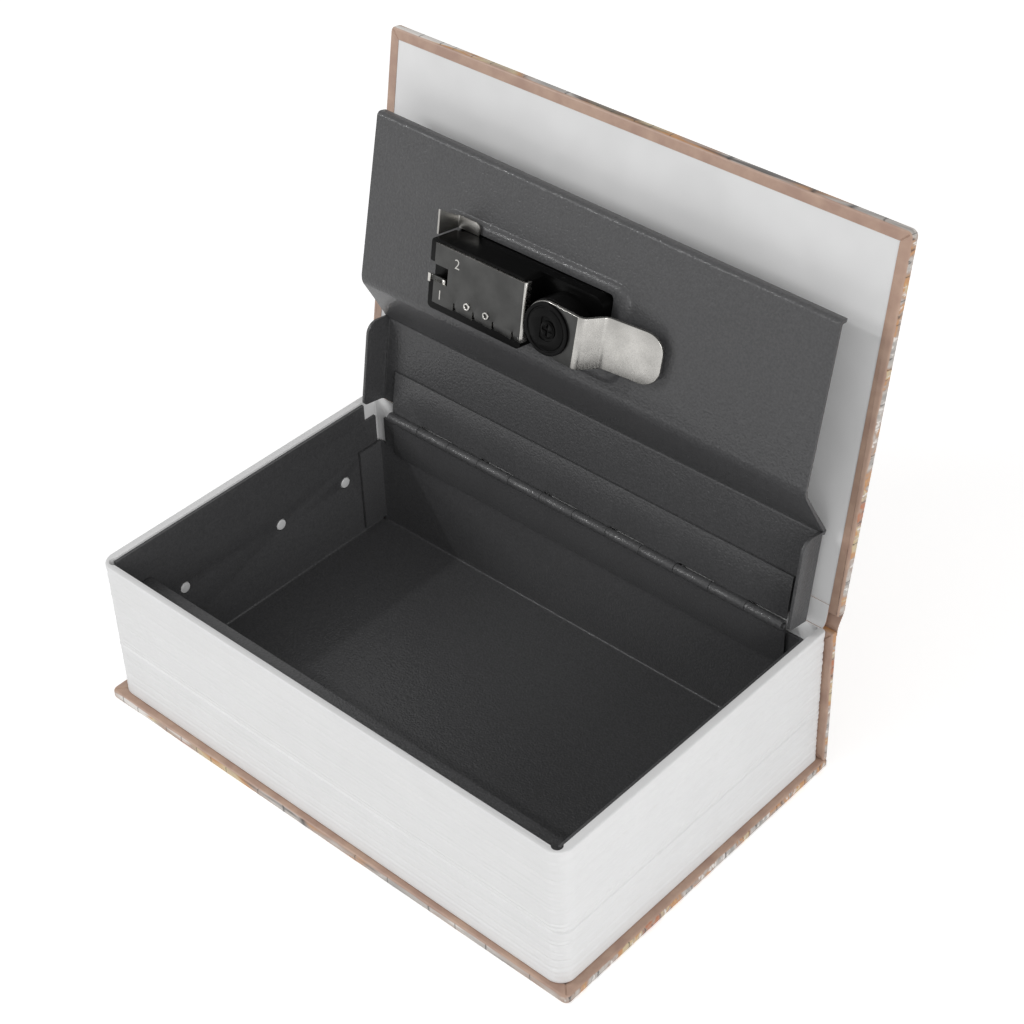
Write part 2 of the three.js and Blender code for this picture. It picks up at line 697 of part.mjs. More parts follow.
// Moulded body of the lock with its bezel outside the lid, a chamber for the dials and the spindle bore.
function buildLockBody() {
  const bezel_low_face = recess_floor + bezel_fit;
  const bezel_face = bezel_low_face + bezel_thick;
  const axle_level = lid_main_face - dial_axle_depth;
  let body = alongZ(roundRect(bezel_left, bezel_right, -bezel_high, -bezel_low, bezel_corner),
    bezel_low_face, bezel_face);
  body = body.add(alongZ(roundRect(lock_left, lock_right, -lock_high, -lock_low, lock_deck_corner),
    lock_deck_face, bezel_low_face + bezel_thick / 2));
  body = body.add(alongZ(roundRect(lock_left, lock_tower_right, -lock_high, -lock_low, lock_corner),
    lock_face, lock_deck_face + lock_corner));
  body = body.add(rod(hub_place_x, -hub_place, hub_boss_radius, lock_face, lock_deck_face + lock_corner,
    corner_steps * 6));

  const chamber_half = dial_radius + dial_clearance;
  const chamber_x0 = dialPlace(0) - dial_pitch / 2;
  const chamber_x1 = dialPlace(dial_count - 1) + dial_pitch / 2;
  const chamber_low = axle_level - dial_radius - dial_clearance;
  body = body.subtract(box(chamber_x0, chamber_x1, -dial_axle_place - chamber_half,
    -dial_axle_place + chamber_half, chamber_low, bezel_low_face));
  const chord = Math.sqrt(dial_radius ** 2 - (bezel_low_face - axle_level) ** 2) + dial_clearance;
  for (let k = 0; k < dial_count; k += 1) {
    const x = dialPlace(k);
    const half = dial_width / 2 + dial_clearance;
    body = body.subtract(box(x - half, x + half, -dial_axle_place - chord, -dial_axle_place + chord,
      bezel_low_face - cut_overrun, bezel_face + cut_overrun));
  }
  body = body.subtract(rodAlongX(-dial_axle_place, axle_level, dial_axle_radius + glue_gap,
    chamber_x0 - axle_bearing - glue_gap, chamber_x1 + axle_bearing + glue_gap, corner_steps * 3));
  body = body.subtract(rod(hub_place_x, -hub_place, spindle_radius + spindle_clearance,
    lock_face - cut_overrun, bezel_face + cut_overrun, corner_steps * 5));

  const pocket = reset_pocket_depth + running_gap;
  body = body.subtract(box(lock_left - cut_overrun, plate_left + reset_slot_length, -reset_slot_high,
    -reset_slot_low, lock_face - cut_overrun, lock_face + pocket));
  addPiece(lid_group, 'lock_body', body, black_plastic);
}

// Stamped back plate with a folded edge, the comb of slits and the open reset slot.
function buildBackPlate() {
  const half = plate_sheet / 2;
  const level = lock_face - glue_gap - half;
  const section = foldedSheet([
    [plate_left, level],
    [plate_right - half, level],
    [plate_right - half, lock_face + plate_fold],
  ], plate_sheet, plate_sheet / 4);
  let plate = alongY(section, -plate_high, -plate_low);
  const low = level - plate_sheet;
  const high = level + plate_sheet;
  for (const place of plate_slit_places) {
    plate = plate.subtract(box(place - plate_slit_width / 2, place + plate_slit_width / 2,
      -plate_low - plate_slit_height, -plate_low + cut_overrun, low, high));
  }
  plate = plate.subtract(box(plate_left - cut_overrun, plate_left + reset_slot_length, -reset_slot_high,
    -reset_slot_low, low, high));
  for (const place of plate_rivet_places) {
    plate = plate.subtract(rod(place, -plate_rivet_row, plate_rivet_radius + glue_gap, low, high, corner_steps * 3));
  }
  addPiece(lid_group, 'lock_back_plate', plate, nickel);

  const rivet_low = level - half - plate_rivet_proud;
  plate_rivet_places.forEach((place, i) => {
    let rivet = rod(place, -plate_rivet_row, plate_rivet_radius, rivet_low, lock_face - glue_gap / 2,
      corner_steps * 3);
    rivet = rivet.subtract(rod(place, -plate_rivet_row, plate_rivet_hole, rivet_low - cut_overrun, level,
      corner_steps * 3));
    addPiece(lid_group, `plate_rivet_${i + 1}`, rivet, nickel);
  });
}

function buildResetLever() {
  const inner = plate_left + reset_slot_length - running_gap;
  const low = -reset_slot_low - running_gap - reset_lever_width;
  const high = low + reset_lever_width;
  const face = lock_face - glue_gap - plate_sheet - reset_lever_proud;
  const slab = box(lock_left + running_gap, inner, low, high, lock_face, lock_face + reset_pocket_depth);
  const stem = box(plate_left - reset_lever_reach, inner - reset_lever_width, low, high, face,
    lock_face + running_gap);
  addPiece(lid_group, 'reset_lever', slab.add(stem), nickel);
}

// Spring clip on the lock's upper side: a tongue that lies on the embossed window and a flag bent up from its end.
function buildClip() {
  const level = lid_main_face - boss_height - glue_gap - clip_sheet / 2;
  const tip = level - clip_flag_depth;
  const low = -lock_high - glue_gap;
  const high = -lock_high - clip_rise;
  const flag_high = -lock_high - clip_flag_rise;
  const section = foldedSheet([
    [clip_right, level],
    [clip_left, level],
    [clip_left, tip],
  ], clip_sheet, clip_sheet / 2);
  let clip = alongY(section, flag_high, low);
  const above = new THREE.Shape();
  above.moveTo(high, level + cut_overrun);
  above.lineTo(high, level - clip_sheet);
  above.lineTo(flag_high, tip);
  above.lineTo(flag_high - cut_overrun, tip);
  above.lineTo(flag_high - cut_overrun, level + cut_overrun);
  clip = clip.subtract(alongX(above, clip_left - cut_overrun, clip_right + cut_overrun));
  clip = clip.subtract(cornerOffcut(clip_right, high, 1, -1, clip_round, level - clip_sheet, level + clip_sheet));
  addPiece(lid_group, 'lock_clip', clip, nickel);
}

function buildDials() {
  const level = lid_main_face - dial_axle_depth;
  const reach = (dial_count - 1) / 2 * dial_pitch + dial_pitch / 2 + axle_bearing;
  addPiece(lid_group, 'dial_axle', rodAlongX(-dial_axle_place, level, dial_axle_radius,
    dial_middle - reach, dial_middle + reach, corner_steps * 3), nickel);
  for (let k = 0; k < dial_count; k += 1) {
    const points = [];
    for (let f = 0; f < dial_flutes; f += 1) {
      dial_flute_shares.forEach(([turn_share, depth_share]) => {
        const angle = (f + turn_share) / dial_flutes * Math.PI * 2;
        const radius = dial_radius - dial_flute_depth * depth_share;
        points.push(new THREE.Vector2(radius * Math.cos(angle), radius * Math.sin(angle)));
      });
    }
    const rim = new THREE.Shape(points);
    const bore = new THREE.Path();
    bore.absarc(0, 0, dial_axle_radius + glue_gap, 0, Math.PI * 2, false);
    rim.holes.push(bore);
    const x = dialPlace(k);
    const dial = alongX(rim, x - dial_width / 2, x + dial_width / 2).translate([0, -dial_axle_place, level]);
    addPiece(lid_group, `dial_wheel_${k + 1}`, dial, black_plastic);
  }
}

// Turn knob with its spindle, the cranked latch arm and the cap that holds the arm. Drawn about the hub's axis.
function buildLatch() {
  const bezel_face = recess_floor + bezel_fit + bezel_thick;
  const skirt_low = bezel_face + running_gap;
  const knob_top = skirt_low + knob_height;
  const sides = corner_steps * 6;
  let knob = rod(0, 0, knob_skirt_radius, skirt_low, skirt_low + knob_skirt_height, sides);
  knob = knob.add(rod(0, 0, knob_radius, skirt_low, knob_top, sides));
  for (const side of [-1, 1]) {
    const near = side * knob_grip_width / 2;
    const far = side * (knob_radius + cut_overrun);
    knob = knob.subtract(box(-knob_radius - cut_overrun, knob_radius + cut_overrun, Math.min(near, far),
      Math.max(near, far), knob_top - knob_grip_cut, knob_top + cut_overrun));
  }
  knob = knob.add(rod(0, 0, spindle_radius, lock_face, skirt_low + knob_skirt_height / 2, sides));
  const square = spindle_square / 2;
  const arm_outer = latch_face - latch_sheet;
  knob = knob.add(box(-square, square, -square, square, arm_outer, lock_face + spindle_radius));
  addPiece(latch_group, 'turn_knob', knob, black_plastic);

  const mid = latch_face - latch_sheet / 2;
  const section = foldedSheet([
    [-latch_width / 2, mid],
    [latch_bend_start, mid],
    [latch_bend_start + latch_bend_run, mid + latch_tongue_drop],
    [latch_length, mid + latch_tip_drop],
  ], latch_sheet, latch_bend);
  const half = latch_width / 2;
  const outline = new THREE.Shape();
  outline.absarc(0, 0, half, Math.PI / 2, Math.PI * 1.5, false);
  const tip_x = latch_length - latch_tip_round;
  const tip_y = half - latch_tip_round;
  outline.absarc(tip_x, -tip_y, latch_tip_round, -Math.PI / 2, 0, false);
  outline.absarc(tip_x, tip_y, latch_tip_round, 0, Math.PI / 2, false);
  const blank = alongZ(outline, arm_outer - cut_overrun, lid_main_face);
  let arm = alongY(section, -half, half).intersect(blank);
  const hole = square + glue_gap;
  arm = arm.subtract(box(-hole, hole, -hole, hole, arm_outer - cut_overrun, latch_face + cut_overrun));
  addPiece(latch_group, 'latch_arm', arm, nickel);

  const cap_top = arm_outer - glue_gap;
  const cap_low = cap_top - hub_cap_height;
  let cap = rod(0, 0, hub_cap_radius, cap_low, cap_top, sides);
  const reach = hub_cap_recess + cut_overrun;
  const recess = rod(0, 0, hub_cap_recess, cap_low - cut_overrun, cap_low + hub_cap_recess_depth, sides)
    .subtract(box(-reach, -hub_cap_flat, -reach, reach, cap_low - cut_overrun * 2, cap_low + cut_overrun));
  cap = cap.subtract(recess);
  addPiece(latch_group, 'hub_cap', cap, black_plastic);
}

buildCase();
buildPageBlock();
buildTray();
buildPegs();
buildHinge();
buildLid();
buildLockBody();
buildBackPlate();
buildResetLever();
buildClip();
buildDials();
buildLatch();

latch_group.position.set(hub_place_x, -hub_place, 0);
latch_group.rotation.z = latch_rest_tilt * degree;
lid_group.add(latch_group);

lid_group.position.set(0, lid_hinge_y, lid_hinge_height);
lid_group.rotation.x = -open_angle * degree;
cover_group.position.set(0, cover_hinge_y, cover_hinge_height);
cover_group.rotation.x = -open_angle * degree;
group.add(lid_group);
group.add(cover_group);

export default group;
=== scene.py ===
"""A hardback book safe lying open: printed case, white page block, grey steel tray and lid, and a cam lock.

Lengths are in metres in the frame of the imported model: +X along the spine, +Y towards the spine, +Z up.
Modelling functions take millimetres. Lid and lock are modelled shut, about the lid's hinge, and swung open.
"""
import json
import math

import bmesh
import bpy
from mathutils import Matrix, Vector


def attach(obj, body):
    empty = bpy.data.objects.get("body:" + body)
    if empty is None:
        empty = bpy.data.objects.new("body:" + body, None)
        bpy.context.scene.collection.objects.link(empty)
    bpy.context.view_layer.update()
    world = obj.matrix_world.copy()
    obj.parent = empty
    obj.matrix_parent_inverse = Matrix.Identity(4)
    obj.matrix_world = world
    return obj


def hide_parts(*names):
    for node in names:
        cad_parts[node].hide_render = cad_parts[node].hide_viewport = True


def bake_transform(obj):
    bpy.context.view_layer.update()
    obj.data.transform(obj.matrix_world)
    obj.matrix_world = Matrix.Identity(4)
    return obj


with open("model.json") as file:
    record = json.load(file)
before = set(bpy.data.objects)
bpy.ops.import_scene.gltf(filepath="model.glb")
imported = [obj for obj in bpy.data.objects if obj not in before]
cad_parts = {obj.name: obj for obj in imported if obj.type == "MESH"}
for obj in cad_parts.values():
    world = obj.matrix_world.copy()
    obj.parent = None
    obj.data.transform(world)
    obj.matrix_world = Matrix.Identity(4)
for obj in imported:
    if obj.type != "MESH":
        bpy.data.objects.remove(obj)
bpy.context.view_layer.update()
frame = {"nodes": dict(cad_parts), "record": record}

MM = 0.001

# Camera of the photograph, worked out from the object's straight edges
CAMERA_PLACE = Vector((337.56, -329.5, 455.23)) * MM
CAMERA_TURN = (51.5, 2.74, 40.08)
CAMERA_LENS = 78.05
SENSOR = 36.0

# The case, in millimetres. The front board starts at its corner line and is turned up by COVER_TURN degrees
HALF_LENGTH = 90.0
HALF_DEPTH = 57.5
BOARD = 3.0
SPINE_BOARD = 2.0
TURN_IN = 3.4
PAPER_HALF = 86.55
COVER_CORNER = (0.0, 59.621, 53.170)
COVER_TURN = 80
COVER_DEPTH = 116.4
JOINT_GAP = 2.6

# The page block and the seat in it for the tray
BLOCK_LOW, BLOCK_TOP = 3.1, 52.1
BLOCK_X, BLOCK_FRONT, BLOCK_BACK = 88.0, -55.1, 55.4
CAVITY_X, CAVITY_FRONT, CAVITY_BACK = 85.4, -52.9, 54.5

# The steelwork: sheet thickness, piano hinge, and what is out of true in the photographed lid's panel
SHEET = 0.9
LID_HINGE = (0.0, 51.7, 49.4)
OPEN = math.radians(100)
KNUCKLE = 1.2
HINGE_HALF = 76.0
PANEL_LEAN = math.radians(3.0)
FRONT_SKEW = math.radians(1.05)

# The lock, in the frame of the shut lid
PLATE_LEVEL = -21.9
LATCH_LEVEL = -22.3
LATCH_HUB = (0.7, -68.2, 0.0)
LATCH_TILT = math.radians(3)

# The studio: white of floor and world, then each lamp's place and diameter in metres and power in watts
FLOOR_GLOW = 0.4
WORLD_FILL = 0.46
LAMPS = {"left_lamp": ((-0.8, -0.85, 0.62), 0.4, 3.4),
         "glint_lamp": ((-0.66, -0.68, 0.87), 0.045, 2.4),
         "right_lamp": ((1.15, -0.4, 0.55), 0.8, 7.8)}


# Modelling by hand

def deselect():
    bpy.ops.object.select_all(action="DESELECT")


def activate(piece):
    """Makes this the only selected object, and the active one."""
    deselect()
    piece.select_set(True)
    bpy.context.view_layer.objects.active = piece


def settle(piece):
    """Puts the object's place, turn and size into its mesh."""
    activate(piece)
    bpy.ops.object.transform_apply(location=True, rotation=True, scale=True)
    return piece


def stand(piece, place, turn=(0, 0, 0)):
    """Turns a piece about the origin, moves it to a place, and puts both into its mesh."""
    piece.rotation_euler = turn
    piece.location = [c * MM for c in place]
    return settle(piece)


def swing(piece):
    """Turns a piece, drawn shut about the lid's hinge line, to its open place."""
    return stand(piece, LID_HINGE, (-OPEN, 0, 0))


def start_box(name, low, high):
    """A box between two corners, to be shaped."""
    deselect()
    middle = [(a + b) / 2 * MM for a, b in zip(low, high)]
    bpy.ops.mesh.primitive_cube_add(size=1.0, location=middle)
    piece = bpy.context.object
    piece.name = name
    piece.scale = [(b - a) * MM for a, b in zip(low, high)]
    return settle(piece)


def start_sheet(name, x0, x1, y0, y1, z):
    """A level rectangle, to be folded."""
    deselect()
    bpy.ops.mesh.primitive_plane_add(size=1.0, location=((x0 + x1) / 2 * MM, (y0 + y1) / 2 * MM, z * MM))
    piece = bpy.context.object
    piece.name = name
    piece.scale = ((x1 - x0) * MM, (y1 - y0) * MM, 1.0)
    return settle(piece)


def start_rod(name, place, radius, length, sides, axis="Z"):
    """A round bar about its middle point, to be shaped."""
    deselect()
    turn = {"X": (0, math.pi / 2, 0), "Y": (math.pi / 2, 0, 0), "Z": (0, 0, 0)}[axis]
    bpy.ops.mesh.primitive_cylinder_add(vertices=sides, radius=radius * MM, depth=length * MM,
                                        location=[c * MM for c in place], rotation=turn)
    piece = bpy.context.object
    piece.name = name
    return settle(piece)


def edit(piece):
    activate(piece)
    bpy.ops.object.mode_set(mode="EDIT")


def leave():
    bpy.ops.object.mode_set(mode="OBJECT")


def pick(kind, test):
    """In edit mode, selects what passes a test of its place in millimetres.

    The test is given a VERT's point, the middle of a FACE's corners, or an EDGE's two ends.
    """
    data = bpy.context.object.data
    mesh = bmesh.from_edit_mesh(data)
    bpy.ops.mesh.select_mode(type=kind)
    bpy.ops.mesh.select_all(action="DESELECT")
    picked = False
    for item in {"VERT": mesh.verts, "EDGE": mesh.edges, "FACE": mesh.faces}[kind]:
        points = [item.co / MM] if kind == "VERT" else [v.co / MM for v in item.verts]
        passed = test(*points) if kind == "EDGE" else test(sum(points, Vector()) / len(points))
        if passed:
            item.select_set(True)
            picked = True
    mesh.select_flush_mode()
    bmesh.update_edit_mesh(data)
    if not picked:
        raise ValueError("nothing picked on " + bpy.context.object.name)


def near(value, target, slack=0.02):
    return abs(value - target) < slack


def both(first, second, target):
    return near(first, target) and near(second, target)


def upright(a, b):
    """Whether the edge between two points runs along Z."""
    return near(a.x, b.x) and near(a.y, b.y)


def pull(x, y, z):
    """Extrudes the selection by a step."""
    bpy.ops.mesh.extrude_region_move(TRANSFORM_OT_translate={"value": (x * MM, y * MM, z * MM)})


def shift(x, y, z):
    """Moves the selection by a step."""
    bpy.ops.transform.translate(value=(x * MM, y * MM, z * MM))


def round_edges(width, segments):
    bpy.ops.mesh.bevel(offset=width * MM, segments=segments, affect="EDGES")


def round_corners(width, segments):
    bpy.ops.mesh.bevel(offset=width * MM, segments=segments, affect="VERTICES")


def slice_at(axis, place):
    """Cuts the whole mesh along a plane, and leaves both sides."""
    bpy.ops.mesh.select_mode(type="FACE")
    bpy.ops.mesh.select_all(action="SELECT")
    normal = {"X": (1, 0, 0), "Y": (0, 1, 0), "Z": (0, 0, 1)}[axis]
    bpy.ops.mesh.bisect(plane_co=[c * place * MM for c in normal], plane_no=normal)


def outward():
    """In edit mode, merges doubles and turns every face outwards."""
    bpy.ops.mesh.select_mode(type="FACE")
    bpy.ops.mesh.select_all(action="SELECT")
    bpy.ops.mesh.remove_doubles(threshold=0.005 * MM)
    bpy.ops.mesh.normals_make_consistent(inside=False)


def apply_modifier(piece, kind, **settings):
    activate(piece)
    modifier = piece.modifiers.new("shape", kind)
    for key, value in settings.items():
        setattr(modifier, key, value)
    bpy.ops.object.modifier_apply(modifier=modifier.name)


def thicken(piece, thickness, rim=0):
    """Gives a folded surface the thickness of its sheet, half on each side.

    Its cut edges take the material that stands this many slots after that of the face.
    """
    edit(piece)
    outward()
    leave()
    apply_modifier(piece, "SOLIDIFY", thickness=thickness * MM, offset=0.0, use_even_offset=True,
                   material_offset_rim=rim)


def smooth(piece, angle):
    """Shades a piece smooth, apart from edges sharper than this many degrees."""
    activate(piece)
    bpy.ops.object.shade_smooth_by_angle(angle=math.radians(angle))


def soften(piece, width, segments=2, angle=35):
    """Breaks the sharp edges and shades the rest smooth."""
    apply_modifier(piece, "BEVEL", width=width * MM, segments=segments, limit_method="ANGLE",
                   angle_limit=math.radians(angle), use_clamp_overlap=True, miter_outer="MITER_ARC")
    smooth(piece, angle)


def cut(piece, *tools):
    """Cuts the tools out of the piece, and removes them."""
    for tool in tools:
        apply_modifier(piece, "BOOLEAN", operation="DIFFERENCE", object=tool, solver="EXACT")
        bpy.data.objects.remove(tool)


def paint(piece, *materials):
    piece.data.materials.clear()
    for material in materials:
        piece.data.materials.append(material)


def paint_highlight(piece, test):
    """Gives the polygons that pass a test the piece's second material, a brighter copy of the first that
    paints a highlight on them.

    The test is given a polygon's middle, in millimetres, and its normal.
    """
    for polygon in piece.data.polygons:
        if test(polygon.center / MM, polygon.normal):
            polygon.material_index = 1


def file_piece(piece, body, replaced=(), materials=()):
    """Gives a finished piece its body, the nodes that it stands for and its materials."""
    if materials:
        paint(piece, *materials)
    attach(piece, body)
    if replaced:
        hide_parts(*replaced)


# Finishes

def linear(hex_colour):
    """An sRGB hex colour as the linear RGBA that shaders take."""
    channels = [int(hex_colour[i:i + 2], 16) / 255 for i in (1, 3, 5)]
    return tuple(c / 12.92 if c <= 0.04045 else ((c + 0.055) / 1.055) ** 2.4 for c in channels) + (1.0,)


def add_node(tree, kind, settings=None, links=None):
    """Adds a shader node, sets its properties and sockets, and links its sockets to the given outputs.

    The setting called stops holds the (position, hex colour) pairs of a colour ramp.
    """
    node = tree.nodes.new(kind)
    for key, value in (settings or {}).items():
        if key == "stops":
            elements = node.color_ramp.elements
            elements.remove(elements[-1])
            elements[0].position = value[0][0]
            elements[0].color = linear(value[0][1])
            for position, colour in value[1:]:
                elements.new(position).color = linear(colour)
        elif isinstance(key, int) or key in node.inputs:
            node.inputs[key].default_value = value
        else:
            setattr(node, key, value)
    for key, output in (links or {}).items():
        tree.links.new(output, node.inputs[key])
    return node


def new_material(name, colour, roughness, metallic=0.0, ior=1.5):
    """A Principled material on its own tree, with its tree, its shader and the Object coordinates."""
    material = bpy.data.materials.new(name)
    material.use_nodes = True
    tree = material.node_tree
    shader = tree.nodes["Principled BSDF"]
    shader.inputs["Base Color"].default_value = linear(colour)
    shader.inputs["Roughness"].default_value = roughness
    shader.inputs["Metallic"].default_value = metallic
    if not metallic:
        shader.inputs["IOR"].default_value = ior
    place = tree.nodes.new("ShaderNodeTexCoord").outputs["Object"]
    return material, tree, shader, place


def per_metre(size_mm):
    """Texture scale that gives features of about this size."""
    return 1.0 / (size_mm * MM)


def roughen(tree, shader, height, strength, depth_mm):
    """Feeds a height into the shader's normal as bumps of the given real depth."""
    bump = add_node(tree, "ShaderNodeBump", {"Strength": strength, "Distance": depth_mm * MM},
                    {"Height": height})
    tree.links.new(bump.outputs["Normal"], shader.inputs["Normal"])
    return bump


def powder_coated_steel():
    """Cold-rolled sheet under a dark grey wrinkle powder coat: a raised grain that glints at low angles.

    A real grain can be finer, but it would not show here, so it is drawn 0.6 to 0.7 mm across.
    """
    material, tree, shader, place = new_material("powder_coated_steel", "#424243", 0.42)
    shader.inputs["Specular IOR Level"].default_value = 0.19
    shader.inputs["Coat Weight"].default_value = 0.24
    shader.inputs["Coat Roughness"].default_value = 0.11
    grain = add_node(tree, "ShaderNodeTexNoise", {"Scale": per_metre(0.7), "Detail": 2.0, "Roughness": 0.5},
                     {"Vector": place})
    beads = add_node(tree, "ShaderNodeTexVoronoi", {"Scale": per_metre(0.6), "feature": "SMOOTH_F1"},
                     {"Vector": place})
    height = add_node(tree, "ShaderNodeMath", {"operation": "MULTIPLY_ADD", 1: 0.6},
                      {0: beads.outputs["Distance"], 2: grain.outputs["Fac"]})
    bump = roughen(tree, shader, height.outputs["Value"], 0.85, 0.16)
    tree.links.new(bump.outputs["Normal"], shader.inputs["Coat Normal"])
    tone = add_node(tree, "ShaderNodeValToRGB", {"stops": [(0.3, "#434344"), (0.7, "#4D4D4E")]},
                    {"Fac": grain.outputs["Fac"]})
    tree.links.new(tone.outputs["Color"], shader.inputs["Base Color"])
    return material


def white_moulded_plastic():
    """Injection-moulded white ABS, satin, with the fine drag lines of the leaf pattern along its length."""
    material, tree, shader, place = new_material("white_moulded_plastic", "#DCDCDC", 0.46, ior=1.53)
    layers = add_node(tree, "ShaderNodeMapping", {"Scale": (0.02, 0.02, 1.0)}, {"Vector": place})
    lines = add_node(tree, "ShaderNodeTexNoise", {"Scale": per_metre(1.1), "Detail": 3.0},
                     {"Vector": layers.outputs["Vector"]})
    roughen(tree, shader, lines.outputs["Fac"], 0.05, 0.2)
    flow = add_node(tree, "ShaderNodeTexNoise", {"Scale": per_metre(14), "Detail": 2.0}, {"Vector": place})
    tone = add_node(tree, "ShaderNodeValToRGB", {"stops": [(0.35, "#D9D9D9"), (0.65, "#DBDBDB")]},
                    {"Fac": flow.outputs["Fac"]})
    tree.links.new(tone.outputs["Color"], shader.inputs["Base Color"])
    return material


def black_moulded_plastic():
    """Black moulded nylon of the lock: deep black, fairly glossy, faintly uneven."""
    material, tree, shader, place = new_material("black_moulded_plastic", "#060606", 0.27, ior=1.53)
    shader.inputs["Specular IOR Level"].default_value = 0.06
    grain = add_node(tree, "ShaderNodeTexNoise", {"Scale": per_metre(0.5), "Detail": 2.0}, {"Vector": place})
    roughen(tree, shader, grain.outputs["Fac"], 0.15, 0.03)
    return material


def plated_steel(name, colour, low_roughness, high_roughness, grain_mm):
    """Stamped steel under nickel plate: a metal with a fine satin grain that breaks up its reflections.

    The grain of real plate is too fine to show, so it is drawn as coarse as it needs to be.
    """
    material, tree, shader, place = new_material(name, colour, low_roughness, metallic=1.0)
    grain = add_node(tree, "ShaderNodeTexNoise", {"Scale": per_metre(grain_mm), "Detail": 3.0},
                     {"Vector": place})
    spread = add_node(tree, "ShaderNodeMapRange",
                      {"From Min": 0.3, "From Max": 0.7, "To Min": low_roughness, "To Max": high_roughness},
                      {"Value": grain.outputs["Fac"]})
    tree.links.new(spread.outputs["Result"], shader.inputs["Roughness"])
    stain = add_node(tree, "ShaderNodeTexNoise", {"Scale": per_metre(7), "Detail": 3.0}, {"Vector": place})
    tone = add_node(tree, "ShaderNodeMapRange",
                    {"From Min": 0.35, "From Max": 0.65, "To Min": 0.78, "To Max": 1.0},
                    {"Value": stain.outputs["Fac"]})
    tinted = add_node(tree, "ShaderNodeMix",
                      {"data_type": "RGBA", "blend_type": "MULTIPLY", 0: 1.0, 6: linear(colour)},
                      {7: tone.outputs["Result"]})
    tree.links.new(tinted.outputs[2], shader.inputs["Base Color"])
    roughen(tree, shader, grain.outputs["Fac"], 0.12, 0.03)
    return material


def bookbinding_board():
    """Grey pulp board, matt, with flecks of fibre."""
    material, tree, shader, place = new_material("bookbinding_board", "#948D82", 0.9)
    fleck = add_node(tree, "ShaderNodeTexNoise", {"Scale": per_metre(0.8), "Detail": 4.0}, {"Vector": place})
    tone = add_node(tree, "ShaderNodeValToRGB", {"stops": [(0.35, "#857E73"), (0.65, "#A39B90")]},
                    {"Fac": fleck.outputs["Fac"]})
    tree.links.new(tone.outputs["Color"], shader.inputs["Base Color"])
    return material


